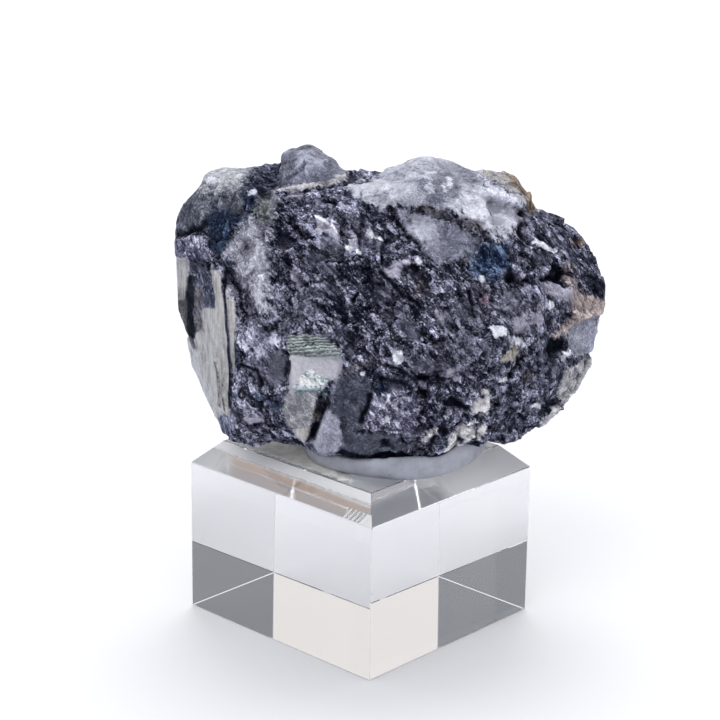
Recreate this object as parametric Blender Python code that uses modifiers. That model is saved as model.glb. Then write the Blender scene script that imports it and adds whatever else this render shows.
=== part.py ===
"""Native antimony on a clear display block.

Three pieces, as they come apart on a bench: the specimen, which is one natural
rock; the mineral tack that holds it up; and the bevelled clear block below.
The origin is the middle of the block's underside, +Z is up, and the display
side of the specimen faces -Y. The block stands with one edge towards -Y.
"""

import math

import bmesh
import bpy

MM = 0.001
GAP = 0.3 * MM  # kept between pieces that touch on the real thing

# The block: a square-cut prism with a wide 45 degree bevel round its top.
BLOCK_WIDE = 31.75 * MM
BLOCK_DEEP = 33.8 * MM
BLOCK_TALL = 24.3 * MM
BLOCK_BEVEL = 3.15 * MM
BLOCK_EASE = 0.12 * MM  # the small round left on every polished edge
BLOCK_TURN = math.radians(46.9)

# The specimen: its middle, and how far its display side leans back.
STONE_MIDDLE = (3.86 * MM, 2.47 * MM, 43.77 * MM)
STONE_LEAN = math.radians(17.9)
STONE_GRID = 0.6 * MM  # the spacing that the joined lumps are skinned at
STONE_EVEN_PASSES = 1
STONE_CHIPS = 1.0 * MM  # depth of the broken facets
STONE_CHIP_SIZE = 5.5 * MM
STONE_GRAINS = 0.5 * MM  # depth of the finer grain
STONE_GRAIN_SIZE = 2.2 * MM
STONE_KEPT_FACES = 0.12  # share of the skin's faces that a coarse rock needs

# The tack: a squashed round pad, wider than it is thick.
TACK_MIDDLE = (5.0 * MM, -3.4 * MM)
TACK_THICK = 3.3 * MM
TACK_ROUND = 0.9 * MM
TACK_PRESS_GRID = 1.2 * MM  # how finely the tack takes the specimen's shape

# The specimen's lumps, as corners that a tight skin is stretched over. A corner
# is millimetres (across, out towards the viewer, up) from the stone's middle.
LUMPS = {
    "body": (
        # the left rim, then the near edge of the flat left face
        (-29.5, -2, 9.0), (-29.4, -2, 5.8), (-29.2, -4, 2.9), (-28.9, -4, -2.9),
        (-26.5, -3, -8.4), (-23.9, -1, -14.4), (-22.3, 1, -18.2), (-25.3, 5, 4.6),
        (-20.4, 9, -0.5), (-20.4, 10, -6.3), (-21.1, 10, -13.5), (-21.4, 6, -19.4),
        # the lower rim and the right rim, up to the knob
        (-13.1, 10, -18.7), (-5.9, 11, -20.8), (4.4, 10, -21.0), (10.2, 7, -18.9),
        (15.9, 3, -18.7), (21.5, 0, -15.9), (25.1, -1, -11.7), (26.9, -2, -7.9),
        (29.2, -3, -0.1), (29.2, -3, 3.5), (27.4, -4, 7.1), (24.6, -5, 11.1),
        (19.6, -5, 13.7), (-2.4, -3, 17.3), (-6.6, -4, 17.4), (-15.4, -4, 17.9),
        (-18.9, -3, 18.0),
        # the head and the belly of the long dark slope
        (-17.2, 9, 10.6), (-14.4, 5, 14.3), (-6.5, 4, 15.8), (0.8, 7, 11.7),
        (10.0, 7, 11.2), (16.8, 4, 10.1), (-13.1, 15, -6.3), (-6.1, 17, -8.1),
        (3.4, 17, -9.2), (12.5, 14, -6.5), (19.9, 8, 0.1), (25.8, 2, -4.3),
        (23.1, 3, -10.3),
        # the undercut below the belly
        (-11.7, 15, -13.3), (-6.0, 14, -16.4), (4.9, 14, -15.6), (12.7, 11, -13.0),
        # the broken back and the flat underside
        (-21.2, -12, 11.3), (-8.7, -14, 14.4), (8.2, -14, 14.0), (21.5, -12, 6.3),
        (23.7, -12, -3.5), (15.5, -12, -12.0), (1.6, -13, -13.5), (-14.0, -12, -13.8),
        (-23.6, -10, -8.3), (-25.8, -9, 2.7), (-12.8, -18, -2.5), (5.7, -19, -0.8),
        (-1.6, -18, 9.1),
    ),
    "left_shoulder": (
        (-29.5, -2, 9.3), (-28.3, 0, 12.4), (-26.4, 0, 14.9), (-24.7, -2, 17.2),
        (-20.8, -3, 17.9), (-17.8, -2, 18.0), (-28.9, 1, 7.5), (-24.7, 7, 7.9),
        (-21.0, 9, 4.5), (-18.1, 9, 10.6), (-17.4, 6, 14.8), (-22.3, 5, 14.1),
        (-27.0, 4, 10.8), (-26.6, -9, 13.8), (-19.7, -9, 16.6), (-26.5, -8, 7.5),
        (-19.6, -9, 7.0),
    ),
    "peak": (
        (-15.1, 4, 14.6), (-15.0, 0, 18.7), (-13.5, -1, 20.4), (-11.6, -1, 21.1),
        (-9.7, -1, 19.9), (-7.1, -1, 17.9), (-6.1, 3, 16.1), (-12.4, 5, 14.3),
        (-11.1, 4, 17.7), (-14.9, -8, 18.7), (-11.4, -7, 20.4), (-7.3, -8, 17.8),
        (-11.4, -8, 13.9),
    ),
    "pale_boulder": (
        (-2.1, 2, 16.0), (-0.8, 0, 17.8), (1.8, -1, 18.8), (3.3, -1, 19.3),
        (5.2, -1, 19.4), (6.8, -2, 19.3), (9.5, -2, 18.2), (10.6, -2, 17.6),
        (-1.2, 8, 12.9), (2.1, 8, 14.0), (6.0, 8, 12.3), (9.9, 8, 11.1),
        (13.2, 8, 9.8), (10.1, 4, 15.3), (1.0, -10, 19.1), (6.6, -11, 19.3),
        (10.8, -10, 17.8), (8.0, -12, 12.0), (-1.0, -10, 13.0),
    ),
    "rusty_knob": (
        (10.0, 0, 16.5), (12.2, -1, 17.8), (14.5, -2, 17.8), (16.0, -2, 17.4),
        (17.0, -2, 16.7), (17.6, -2, 15.6), (18.8, -2, 14.2), (18.4, 0, 12.9),
        (14.1, 4, 14.1), (16.8, 4, 12.8), (11.0, 4, 14.7), (13.5, -9, 17.8),
        (17.0, -9, 16.5), (18.8, -9, 14.4), (12.0, -9, 11.0),
    ),
}

# The tack's outline on the block's top, squashed out further on the near side.
TACK_OUTLINE = (
    (11.0, 4.2), (6.6, 9.4), (0.0, 11.2), (-6.8, 9.3), (-11.0, 4.0), (-11.8, -1.5),
    (-10.6, -5.2), (-7.0, -8.3), (-3.2, -9.9), (1.0, -10.6), (4.6, -9.3), (7.8, -6.2),
    (10.2, -2.0),
)


def clear_scene():
    for thing in list(bpy.data.objects):
        bpy.data.objects.remove(thing, do_unlink=True)


def new_collection(name):
    collection = bpy.data.collections.new(name)
    bpy.context.scene.collection.children.link(collection)
    return collection


def principled(name, colour, roughness, metallic=0.0, transmission=0.0, ior=1.5):
    """A plain Principled BSDF with the piece's overall finish."""
    material = bpy.data.materials.new(name)
    material.use_nodes = True
    shader = material.node_tree.nodes["Principled BSDF"]
    shader.inputs["Base Color"].default_value = (*colour, 1.0)
    shader.inputs["Roughness"].default_value = roughness
    shader.inputs["Metallic"].default_value = metallic
    shader.inputs["Transmission Weight"].default_value = transmission
    shader.inputs["IOR"].default_value = ior
    material.diffuse_color = (*colour, 1.0)
    return material


def place(name, shape, collection, material):
    """An object round a finished bmesh, which is freed."""
    mesh = bpy.data.meshes.new(name)
    shape.to_mesh(mesh)
    shape.free()
    mesh.materials.append(material)
    made = bpy.data.objects.new(name, mesh)
    collection.objects.link(made)
    return made


def evaluated_copy(source, name, collection):
    """The object's mesh as its modifiers leave it, as an object of its own."""
    graph = bpy.context.evaluated_depsgraph_get()
    mesh = bpy.data.meshes.new_from_object(source.evaluated_get(graph))
    copy = bpy.data.objects.new(name, mesh)
    copy.matrix_world = source.matrix_world.copy()
    collection.objects.link(copy)
    return copy


def skin(kind, corners):
    """Adds one lump to a bmesh: its corners, and the tight skin over them."""
    points = [kind.verts.new((a * MM, -out * MM, up * MM)) for a, out, up in corners]
    hull = bmesh.ops.convex_hull(kind, input=points, use_existing_faces=False)
    inside = [v for v in hull["geom_interior"] if isinstance(v, bmesh.types.BMVert)]
    bmesh.ops.delete(kind, geom=inside, context="VERTS")


def rough_texture(name, kind, size, **settings):
    texture = bpy.data.textures.new(name, kind)
    texture.noise_scale = size
    for setting, value in settings.items():
        setattr(texture, setting, value)
    return texture


def displace(piece, name, texture, depth, middle=0.5):
    modifier = piece.modifiers.new(name, "DISPLACE")
    modifier.texture = texture
    modifier.texture_coords = "LOCAL"
    modifier.strength = depth
    modifier.mid_level = middle
    return modifier


def voxel_skin(piece, grid):
    modifier = piece.modifiers.new("one skin", "REMESH")
    modifier.mode = "VOXEL"
    modifier.voxel_size = grid
    return modifier


def build_stone(collection, material):
    """The rock: lumps under one skin, evened a little, then chipped and grained."""
    lumps = bmesh.new()
    for corners in LUMPS.values():
        skin(lumps, corners)
    stone = place("antimony_stone", lumps, collection, material)
    voxel_skin(stone, STONE_GRID)
    evening = stone.modifiers.new("evened edges", "SMOOTH")
    evening.factor = 0.5
    evening.iterations = STONE_EVEN_PASSES
    chips = rough_texture("broken facets", "VORONOI", STONE_CHIP_SIZE)
    displace(stone, "chips", chips, STONE_CHIPS)
    grains = rough_texture("grain", "CLOUDS", STONE_GRAIN_SIZE, noise_depth=1)
    displace(stone, "grains", grains, STONE_GRAINS)
    fewer = stone.modifiers.new("fewer faces", "DECIMATE")
    fewer.ratio = STONE_KEPT_FACES
    stone.location = STONE_MIDDLE
    stone.rotation_euler = (-STONE_LEAN, 0, 0)
    bpy.context.view_layer.update()
    return stone


def build_block(collection, material):
    """The prism, bevelled wide round its top face, with every edge eased."""
    prism = bmesh.new()
    bmesh.ops.create_cube(prism, size=1.0)
    bmesh.ops.scale(prism, vec=(BLOCK_WIDE, BLOCK_DEEP, BLOCK_TALL), verts=prism.verts)
    bmesh.ops.translate(prism, vec=(0, 0, BLOCK_TALL / 2), verts=prism.verts)
    rim = [e for e in prism.edges if min(v.co.z for v in e.verts) > BLOCK_TALL / 2]
    bmesh.ops.bevel(
        prism, geom=rim, offset=BLOCK_BEVEL, segments=1, affect="EDGES", profile=0.5
    )
    block = place("acrylic_block", prism, collection, material)
    ease = block.modifiers.new("eased edges", "BEVEL")
    ease.width = BLOCK_EASE
    ease.segments = 2
    ease.limit_method = "ANGLE"
    block.rotation_euler = (0, 0, BLOCK_TURN)
    return block


def build_tack(stone, collection, cutters, material):
    """The pad: an outline with rounded sides, cut by the stone pressed into it."""
    outline = bpy.data.curves.new("tack outline", "CURVE")
    outline.dimensions = "2D"
    outline.fill_mode = "BOTH"
    outline.extrude = TACK_THICK / 2 - TACK_ROUND
    outline.bevel_depth = TACK_ROUND
    outline.bevel_resolution = 1
    outline.resolution_u = 3
    spline = outline.splines.new("BEZIER")
    spline.bezier_points.add(len(TACK_OUTLINE) - 1)
    for point, (x, y) in zip(spline.bezier_points, TACK_OUTLINE):
        point.co = (x * MM, y * MM, 0)
        point.handle_left_type = "AUTO"
        point.handle_right_type = "AUTO"
    spline.use_cyclic_u = True
    drawn = bpy.data.objects.new("tack outline", outline)
    collection.objects.link(drawn)
    drawn.location = (*TACK_MIDDLE, BLOCK_TALL + GAP + TACK_THICK / 2)
    bpy.context.view_layer.update()
    tack = evaluated_copy(drawn, "mineral_tack", collection)
    bpy.data.objects.remove(drawn, do_unlink=True)
    welded = bmesh.new()
    welded.from_mesh(tack.data)
    bmesh.ops.remove_doubles(welded, verts=welded.verts, dist=0.01 * MM)
    welded.to_mesh(tack.data)
    welded.free()
    tack.data.materials.clear()
    tack.data.materials.append(material)

    press = evaluated_copy(stone, "stone_press", cutters)
    press.hide_render = True
    press.display_type = "WIRE"
    grown = press.modifiers.new("clearance", "DISPLACE")
    grown.strength = GAP * 1.4
    grown.mid_level = 0.0
    voxel_skin(press, TACK_PRESS_GRID)
    hollow = tack.modifiers.new("pressed by the stone", "BOOLEAN")
    hollow.operation = "DIFFERENCE"
    hollow.object = press
    return tack


def build():
    clear_scene()
    pieces = new_collection("native antimony")
    cutters = new_collection("cutters")
    ore = principled("dark metallic ore", (0.10, 0.10, 0.13), 0.45, metallic=0.6)
    acrylic = principled("clear acrylic", (1.0, 1.0, 1.0), 0.02, 0.0, 1.0, 1.49)
    putty = principled("pale tack", (0.55, 0.57, 0.62), 0.6)
    stone = build_stone(pieces, ore)
    build_block(pieces, acrylic)
    build_tack(stone, pieces, cutters, putty)


build()
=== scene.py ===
# %% [markdown]
# # Native antimony on a clear display block
#
# This lesson dresses a measured model: a lump of native antimony, the pad of tack
# that holds it and the clear block it stands on. The sizes are already right, so
# every cell below is about surface: how a broken metallic rock, squashed putty and
# polished acrylic look, and how Blender can be made to show it.

# %% Load the measured model
import math

import bmesh
import bpy
import numpy as np
from mathutils import Matrix, Vector, noise


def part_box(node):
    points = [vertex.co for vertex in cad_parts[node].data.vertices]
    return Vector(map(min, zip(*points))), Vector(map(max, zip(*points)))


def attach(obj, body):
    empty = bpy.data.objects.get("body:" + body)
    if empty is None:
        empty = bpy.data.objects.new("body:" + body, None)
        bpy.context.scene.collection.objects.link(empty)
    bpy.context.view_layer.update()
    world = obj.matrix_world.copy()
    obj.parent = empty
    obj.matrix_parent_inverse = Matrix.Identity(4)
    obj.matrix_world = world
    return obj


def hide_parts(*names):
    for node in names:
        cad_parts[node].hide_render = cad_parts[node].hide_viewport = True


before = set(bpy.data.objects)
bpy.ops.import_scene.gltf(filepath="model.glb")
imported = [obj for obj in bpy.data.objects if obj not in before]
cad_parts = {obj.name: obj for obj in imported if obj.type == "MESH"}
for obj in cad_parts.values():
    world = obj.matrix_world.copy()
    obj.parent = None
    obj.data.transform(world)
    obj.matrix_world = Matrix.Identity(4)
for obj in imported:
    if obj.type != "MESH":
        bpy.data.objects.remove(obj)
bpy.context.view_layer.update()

MM = 0.001
BLOCK_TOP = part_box("acrylic_block")[1].z
STONE_LOW, STONE_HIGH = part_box("antimony_stone")
print("nodes:", sorted(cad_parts))
print("specimen, mm:", [round(side / MM, 1) for side in STONE_HIGH - STONE_LOW])

# %% [markdown]
# ## The camera
#
# A small specimen looks best from a little above through a long lens, which
# doesn't stretch its outline. The camera comes first because the finishes further
# down are laid out as this view sees them.

# %% Camera
FRAME_SIDE = 720  # the frame is square, this many pixels each way
FOCAL_PIXELS = 2200.0
SENSOR = 36.0
NEAREST = 10 * MM
AIM = Vector((-0.3, 0.0, 36.1)) * MM
DISTANCE = 295.5 * MM
ELEVATION = math.radians(17.86)
ROLL = 0.0139  # the camera leans to one side by a hair, in radians

turn = Matrix.Rotation(math.pi / 2 - ELEVATION, 4, "X") @ Matrix.Rotation(ROLL, 4, "Z")
back = Vector((0.0, -math.cos(ELEVATION), math.sin(ELEVATION)))
CAMERA_AT = Matrix.Translation(AIM + back * DISTANCE) @ turn

camera = bpy.data.objects.new("camera", bpy.data.cameras.new("camera"))
camera.data.sensor_width = SENSOR
camera.data.lens = SENSOR * FOCAL_PIXELS / FRAME_SIDE
camera.data.clip_start = NEAREST
camera.matrix_world = CAMERA_AT
bpy.context.scene.collection.objects.link(camera)
bpy.context.scene.camera = camera
print("lens, mm:", camera.data.lens)

# %% [markdown]
# ## Helpers for materials
#
# A material in Blender is a graph: each node does one small sum and hands its result
# on. Every finish below is written as such sums, so a few helpers come first, each
# of which makes a node and links it in one line.

# %% Making and feeding nodes
def node(tree, kind, **settings):
    """A new shader node, with its own settings given by name."""
    made = tree.nodes.new(kind)
    for name, value in settings.items():
        setattr(made, name, value)
    return made


def feed(tree, socket, value):
    """Links a socket to another one, or sets it to a number, a direction or a colour."""
    if isinstance(value, bpy.types.NodeSocket):
        tree.links.new(value, socket)
    elif socket.type == "RGBA":
        socket.default_value = (*value, 1)
    else:
        socket.default_value = value


def dress(tree, shader, values):
    """Feeds the sockets of a node by their names."""
    for name, value in values.items():
        feed(tree, shader.inputs[name], value)


def new_finish(name, values):
    """A material, its node tree and its main shader, whose sockets get these values."""
    made = bpy.data.materials.new(name)
    made.use_nodes = True
    shader = made.node_tree.nodes["Principled BSDF"]
    dress(made.node_tree, shader, values)
    return made, made.node_tree, shader


print("a node is made by", node.__name__, "and fed by", feed.__name__)


# %% Ramps, mixes and sums
def ramp(tree, factor, *stops):
    """A colour ramp fed by factor; each stop is its place and a colour, or just a grey level."""
    made = node(tree, "ShaderNodeValToRGB")
    elements = made.color_ramp.elements
    while len(elements) < len(stops):
        elements.new(0.5)
    for element, (place, colour) in zip(elements, stops):
        element.position = place
        element.color = (*colour, 1) if isinstance(colour, tuple) else (colour, colour, colour, 1)
    tree.links.new(factor, made.inputs["Fac"])
    return made.outputs["Color"]


def mix(tree, amount, first, second, blend="MIX"):
    """Two colours mixed."""
    made = node(tree, "ShaderNodeMix", data_type="RGBA", blend_type=blend)
    for socket, value in ((made.inputs[0], amount), (made.inputs[6], first), (made.inputs[7], second)):
        feed(tree, socket, value)
    return made.outputs[2]


def maths(tree, operation, first, second=0.0, clamp=False):
    """One sum on two values."""
    made = node(tree, "ShaderNodeMath", operation=operation, use_clamp=clamp)
    feed(tree, made.inputs[0], first)
    feed(tree, made.inputs[1], second)
    return made.outputs[0]


def plus(tree, first, second, clamp=False):
    """The sum of two values."""
    return maths(tree, "ADD", first, second, clamp)


def minus(tree, first, second):
    """The first value less the second."""
    return maths(tree, "SUBTRACT", first, second)


def times(tree, first, second, clamp=False):
    """Two values multiplied, cut off outside 0 to 1 where clamp says so."""
    return maths(tree, "MULTIPLY", first, second, clamp)


def vector_maths(tree, operation, first, second):
    """One sum on two vectors."""
    made = node(tree, "ShaderNodeVectorMath", operation=operation)
    feed(tree, made.inputs[0], first)
    feed(tree, made.inputs[1], second)
    return made.outputs["Value" if operation == "DOT_PRODUCT" else "Vector"]


def parts(tree, vector):
    """The X, Y and Z of a vector."""
    made = node(tree, "ShaderNodeSeparateXYZ")
    feed(tree, made.inputs[0], vector)
    return made.outputs[:]


print("sums:", [helper.__name__ for helper in (plus, minus, times, maths, vector_maths)])

# %% [markdown]
# ## Floor and light
#
# Clear acrylic shows nothing of its own, only what surrounds it, so the studio
# matters more here than usual. A white sweep and a bright dome give the pale
# upper panes; a darker band low on either side gives the grey lower corners, which
# total reflection inside the block fills with the view to the sides.

# %% Floor
FLOOR_HALF = 3.0
AIR_GAP = 0.05 * MM  # under the block, so that its underside still mirrors

floor_shape = bmesh.new()
bmesh.ops.create_grid(floor_shape, x_segments=1, y_segments=1, size=FLOOR_HALF)
bmesh.ops.translate(floor_shape, vec=(0, 0, -AIR_GAP), verts=floor_shape.verts)
floor_mesh = bpy.data.meshes.new("floor")
floor_shape.to_mesh(floor_mesh)
floor_shape.free()
floor = bpy.data.objects.new("floor", floor_mesh)
bpy.context.scene.collection.objects.link(floor)
paper, _, _ = new_finish("white paper sweep", {
    "Base Color": (0.775, 0.785, 0.81), "Roughness": 0.9, "Specular IOR Level": 0.0})
floor_mesh.materials.append(paper)
print("floor, m across:", 2 * FLOOR_HALF)

# %% Dome
CEILING = (1.15, 1.15, 1.175)
FRONT_WALL = (0.76, 0.745, 0.75)
SIDE_WALL = (0.95, 0.95, 0.95)
BACK_WALL = (0.95, 0.905, 0.865)
LOW_FLANK = (0.245, 0.255, 0.275)
WALLS_END, CEILING_STARTS = 0.5, 0.72  # heights on the dome, which is 1 high
FLANK_STARTS, FLANK_FULL = 0.72, 0.82  # the same, out to either side

world = bpy.data.worlds.new("studio dome")
bpy.context.scene.world = world
world.use_nodes = True
sky = world.node_tree
looking = node(sky, "ShaderNodeTexCoord").outputs["Generated"]
look_x, look_y, look_z = parts(sky, looking)
backwards = plus(sky, times(sky, look_y, 0.5), 0.5)
below_ceiling = ramp(sky, maths(sky, "ABSOLUTE", look_z), (0.0, 1), (WALLS_END, 1), (CEILING_STARTS, 0))
flank = ramp(sky, maths(sky, "ABSOLUTE", look_x), (0.0, 0), (FLANK_STARTS, 0), (FLANK_FULL, 1))
walls = ramp(sky, backwards, (0.0, FRONT_WALL), (0.2, FRONT_WALL), (0.5, SIDE_WALL), (0.85, BACK_WALL))
room = mix(sky, below_ceiling, CEILING, walls)
room = mix(sky, mix(sky, 1.0, below_ceiling, flank, "MULTIPLY"), room, LOW_FLANK)
print("ceiling brighter than the front wall by", round(CEILING[0] / FRONT_WALL[0], 1))

# %% [markdown]
# A bevel cut at 45 degrees sends light straight back where it came from, as the
# corner of a mirrored box does. So each bevel shows a slim picture of whatever is
# beside the lens: here the warm edge of a wooden shelf, inside the dim round shape
# of the camera itself. The dome only has to show the two in the right direction.

# %% Warm strip beside the lens
STRIP_AZIMUTH = math.radians(2.6)  # to the right of straight ahead, as the stone sees it
STRIP_HEIGHT = math.radians(20.675)
STRIP_SLOPE = -0.39
STRIP_WIDE = math.radians(0.26)
STRIP_SOFT = math.radians(0.12)
STRIP_LONG = math.radians(6.2)
STRIP_COLOUR = (0.58, 0.28, 0.05)
LENS_DIM = (0.40, 0.40, 0.43)
LENS_INNER, LENS_OUTER = math.radians(3.5), math.radians(6.0)  # the dim shape fades out between these

towards_strip = Vector((math.sin(STRIP_AZIMUTH) * math.cos(STRIP_HEIGHT),
                        -math.cos(STRIP_AZIMUTH) * math.cos(STRIP_HEIGHT), math.sin(STRIP_HEIGHT)))
strip_right = Vector((0, 0, 1)).cross(towards_strip).normalized()
strip_up = towards_strip.cross(strip_right)
strip_along = (strip_right + STRIP_SLOPE * strip_up).normalized()
strip_across = towards_strip.cross(strip_along)


def within(direction, half, soft):
    """1 where the dome reaches less than half along the direction, 0 past the soft edge."""
    reach = maths(sky, "ABSOLUTE", vector_maths(sky, "DOT_PRODUCT", looking, direction))
    return maths(sky, "DIVIDE", minus(sky, half + soft, reach), soft, clamp=True)


strip = times(sky, within(strip_across, STRIP_WIDE / 2 - STRIP_SOFT / 2, STRIP_SOFT),
              within(strip_along, STRIP_LONG / 2, STRIP_WIDE))
strip = times(sky, strip, maths(sky, "LESS_THAN", look_y, 0.0))
towards_lens = vector_maths(sky, "DOT_PRODUCT", looking, towards_strip)
lens_shape = maths(sky, "DIVIDE", minus(sky, towards_lens, math.cos(LENS_OUTER)),
                   math.cos(LENS_INNER) - math.cos(LENS_OUTER), clamp=True)
room = mix(sky, lens_shape, room, LENS_DIM)
dress(sky, sky.nodes["Background"], {"Color": mix(sky, strip, room, STRIP_COLOUR), "Strength": 1.0})
print("strip, degrees long:", round(math.degrees(STRIP_LONG), 1))

# %% [markdown]
# Two soft lamps join the dome. The one behind throws the short shadow in front of
# the block; the weaker one in front only makes the facets glitter.

# %% Lamps
LAMP_ACROSS = 0.6


def soft_lamp(name, place, energy):
    """A round lamp that faces the specimen from this place, in metres."""
    lamp = bpy.data.objects.new(name, bpy.data.lights.new(name, "AREA"))
    lamp.data.shape = "DISK"
    lamp.data.size = LAMP_ACROSS
    lamp.data.energy = energy
    lamp.location = place
    lamp.rotation_mode = "QUATERNION"
    lamp.rotation_quaternion = (AIM - Vector(place)).to_track_quat("-Z", "Y")
    bpy.context.scene.collection.objects.link(lamp)


soft_lamp("back lamp", (0.04, 0.50, 0.88), energy=4.0)
soft_lamp("front lamp", (-0.25, -0.50, 0.80), energy=1.8)

# %% [markdown]
# ## The specimen: one skin of small facets
#
# A broken lump of native antimony is a mass of interlocked grains, each of which
# parts along its own flat cleavage. Sculpting that by hand would take days, and a
# plain noise gives soft porridge instead of facets. So the measured lump gets an
# even skin of small faces first, and each point of the skin is then moved.

# %% An even skin
SKIN_GRID = 0.31 * MM
SOFTENING_PASSES = 10
SAME_POINT = 0.001 * MM  # corners closer than this are one point
STONE_MIDDLE = np.array(Vector((3.86, 2.47, 43.77)) * MM)
DISPLAY_LEAN = ELEVATION  # the display side leans back to face the camera


def finished_mesh(piece):
    """The piece's mesh with its modifiers applied, as a mesh of its own."""
    graph = bpy.context.evaluated_depsgraph_get()
    return bpy.data.meshes.new_from_object(piece.evaluated_get(graph))


def merged_copy(node_name, new_name):
    """A copy of a measured node whose loose triangles are joined up."""
    shape = bmesh.new()
    shape.from_mesh(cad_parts[node_name].data)
    bmesh.ops.remove_doubles(shape, verts=shape.verts, dist=SAME_POINT)
    mesh = bpy.data.meshes.new(new_name)
    shape.to_mesh(mesh)
    shape.free()
    made = bpy.data.objects.new(new_name, mesh)
    bpy.context.scene.collection.objects.link(made)
    return made


def even_skin(piece, grid, passes=0):
    """Reskins the piece with small even faces, and softens them over this many passes."""
    voxels = piece.modifiers.new("even skin", "REMESH")
    voxels.mode = "VOXEL"
    voxels.voxel_size = grid
    if passes:
        soften = piece.modifiers.new("soften", "SMOOTH")
        soften.factor = 0.5
        soften.iterations = passes
    bpy.context.view_layer.update()
    mesh = finished_mesh(piece)
    piece.modifiers.clear()
    piece.data = mesh
    return piece


stone = even_skin(merged_copy("antimony_stone", "antimony_specimen"), SKIN_GRID, SOFTENING_PASSES)
stone_mesh = stone.data
COUNT = len(stone_mesh.vertices)
print("points in the skin:", COUNT, "triangles:", sum(len(p.vertices) - 2 for p in stone_mesh.polygons))

# %% [markdown]
# The display side leans back, so it is easier to think in millimetres across, out
# towards the viewer and up, from the middle of the lump. Every point also gets the
# place where the camera sees it, in pixels of the square frame, which is how the
# patches of the display side are laid out.

# %% Places on the skin
LEAN_AXES = np.array([
    (1.0, 0.0, 0.0),
    (0.0, -math.cos(DISPLAY_LEAN), math.sin(DISPLAY_LEAN)),
    (0.0, math.sin(DISPLAY_LEAN), math.cos(DISPLAY_LEAN)),
])


def rows(source, field):
    """Three numbers for each point of a mesh, one row a point."""
    flat = np.empty(len(source) * 3, np.float32)
    source.foreach_get(field, flat)
    return flat.reshape(-1, 3).astype(float)


def in_millimetres(metres):
    """Places in the model's own frame, as millimetres across, out and up."""
    return (metres - STONE_MIDDLE) / MM @ LEAN_AXES.T


def in_metres(places):
    """The way back: metres in the model's own frame."""
    return places @ LEAN_AXES * MM + STONE_MIDDLE


def seen_at(places):
    """Where the camera sees each point, in pixels from the frame's top left."""
    inverse = np.array(CAMERA_AT.inverted())
    local = in_metres(places) @ inverse[:3, :3].T + inverse[:3, 3]
    depth = -local[:, 2]
    half = FRAME_SIDE / 2
    return half + FOCAL_PIXELS * local[:, 0] / depth, half - FOCAL_PIXELS * local[:, 1] / depth


def smoothly(low, high, values):
    """0 below low, 1 above high, and an easy slope between."""
    t = np.clip((values - low) / (high - low), 0, 1)
    return t * t * (3 - 2 * t)


points = rows(stone_mesh.vertices, "co")
print("skin starts at, mm:", [round(float(low) / MM, 1) for low in points.min(axis=0)])

# %% The sides of the stone
DISPLAY_EDGE = -0.05, 0.12  # how squarely a point faces the camera, from -1 to 1, where each side starts
ROUNDED_EDGE = -0.75, -0.45
HIDDEN_EDGE = -0.45, -0.15

form = in_millimetres(points)
faces_way = rows(stone_mesh.vertex_normals, "vector") @ LEAN_AXES.T
to_camera = np.array(LEAN_AXES @ (np.array(CAMERA_AT.translation) - STONE_MIDDLE) / MM) - form
to_camera /= np.linalg.norm(to_camera, axis=1)[:, None]
toward = (faces_way * to_camera).sum(1)
display = smoothly(*DISPLAY_EDGE, toward)  # 1 on the side on show
rounded = smoothly(*ROUNDED_EDGE, toward)  # the same, and a little way round its edges
off_display = 1 - smoothly(*HIDDEN_EDGE, toward)  # the hidden side
everywhere = np.ones(COUNT)
print("on the display side:", int((display > 0.5).sum()))

# %% [markdown]
# ## Brushes
#
# Every patch of the display side, whether it is a raised lump, a crack or a change
# of mineral, is laid down with one of three brushes: a spot, a stroke along a line
# and an area inside an outline. A brush gives each point a value that is 1 well
# inside, 0.5 on the edge and 0 outside. The places are pushed about by a little
# noise first, so that no edge comes out as drawn with a ruler; rough says by how
# much, and the clean cleavage plates need only a little of it.

# %% Noise on the skin
SEED_STEPS = 7.1, 3.3, 5.7  # how far a seed moves the places, so that no two noises are alike


def noise_at(places, size, seed=0.0):
    """Smooth noise from -1 to 1 whose blobs are about size millimetres across."""
    shift = Vector([seed * step for step in SEED_STEPS])
    return np.array([noise.noise(Vector(p) / size + shift) for p in places])


COARSE_PUSH, FINE_PUSH = 5.0, 2.0  # in pixels
COARSE_SIZE, FINE_SIZE = 2.0, 0.7  # in millimetres

seen_x, seen_y = seen_at(form)
push_x = COARSE_PUSH * noise_at(form, COARSE_SIZE, 1.0) + FINE_PUSH * noise_at(form, FINE_SIZE, 2.0)
push_y = COARSE_PUSH * noise_at(form, COARSE_SIZE, 1.5) + FINE_PUSH * noise_at(form, FINE_SIZE, 2.5)
print("edges pushed, pixels:", round(float(np.abs(push_x).max()), 1))


# %% The three brushes
def near_line(x, y, points):
    """How far each place lies from the line through the points, in pixels."""
    nearest = np.full(COUNT, 1e9)
    for (x0, y0), (x1, y1) in zip(points, points[1:]):
        dx, dy = x1 - x0, y1 - y0
        t = np.clip(((x - x0) * dx + (y - y0) * dy) / (dx * dx + dy * dy), 0, 1)
        nearest = np.minimum(nearest, np.hypot(x - x0 - t * dx, y - y0 - t * dy))
    return nearest


def spot(x, y, wide, tall, turned=0.0, soft=3.0, rough=1.0, show=display):
    """An oval patch: its middle, its half width and height, and its turn in degrees."""
    a = math.radians(turned)
    dx, dy = seen_x + rough * push_x - x, seen_y + rough * push_y - y
    across, down = dx * math.cos(a) + dy * math.sin(a), dy * math.cos(a) - dx * math.sin(a)
    reach = np.sqrt((across / wide) ** 2 + (down / tall) ** 2)
    return np.clip(0.5 + (1 - reach) * min(wide, tall) / (2 * soft), 0, 1) * show


def stroke(points, wide, soft=3.0, rough=1.0, show=display):
    """A line of some width through the points."""
    nearest = near_line(seen_x + rough * push_x, seen_y + rough * push_y, points)
    return np.clip(0.5 + (wide / 2 - nearest) / (2 * soft), 0, 1) * show


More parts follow.
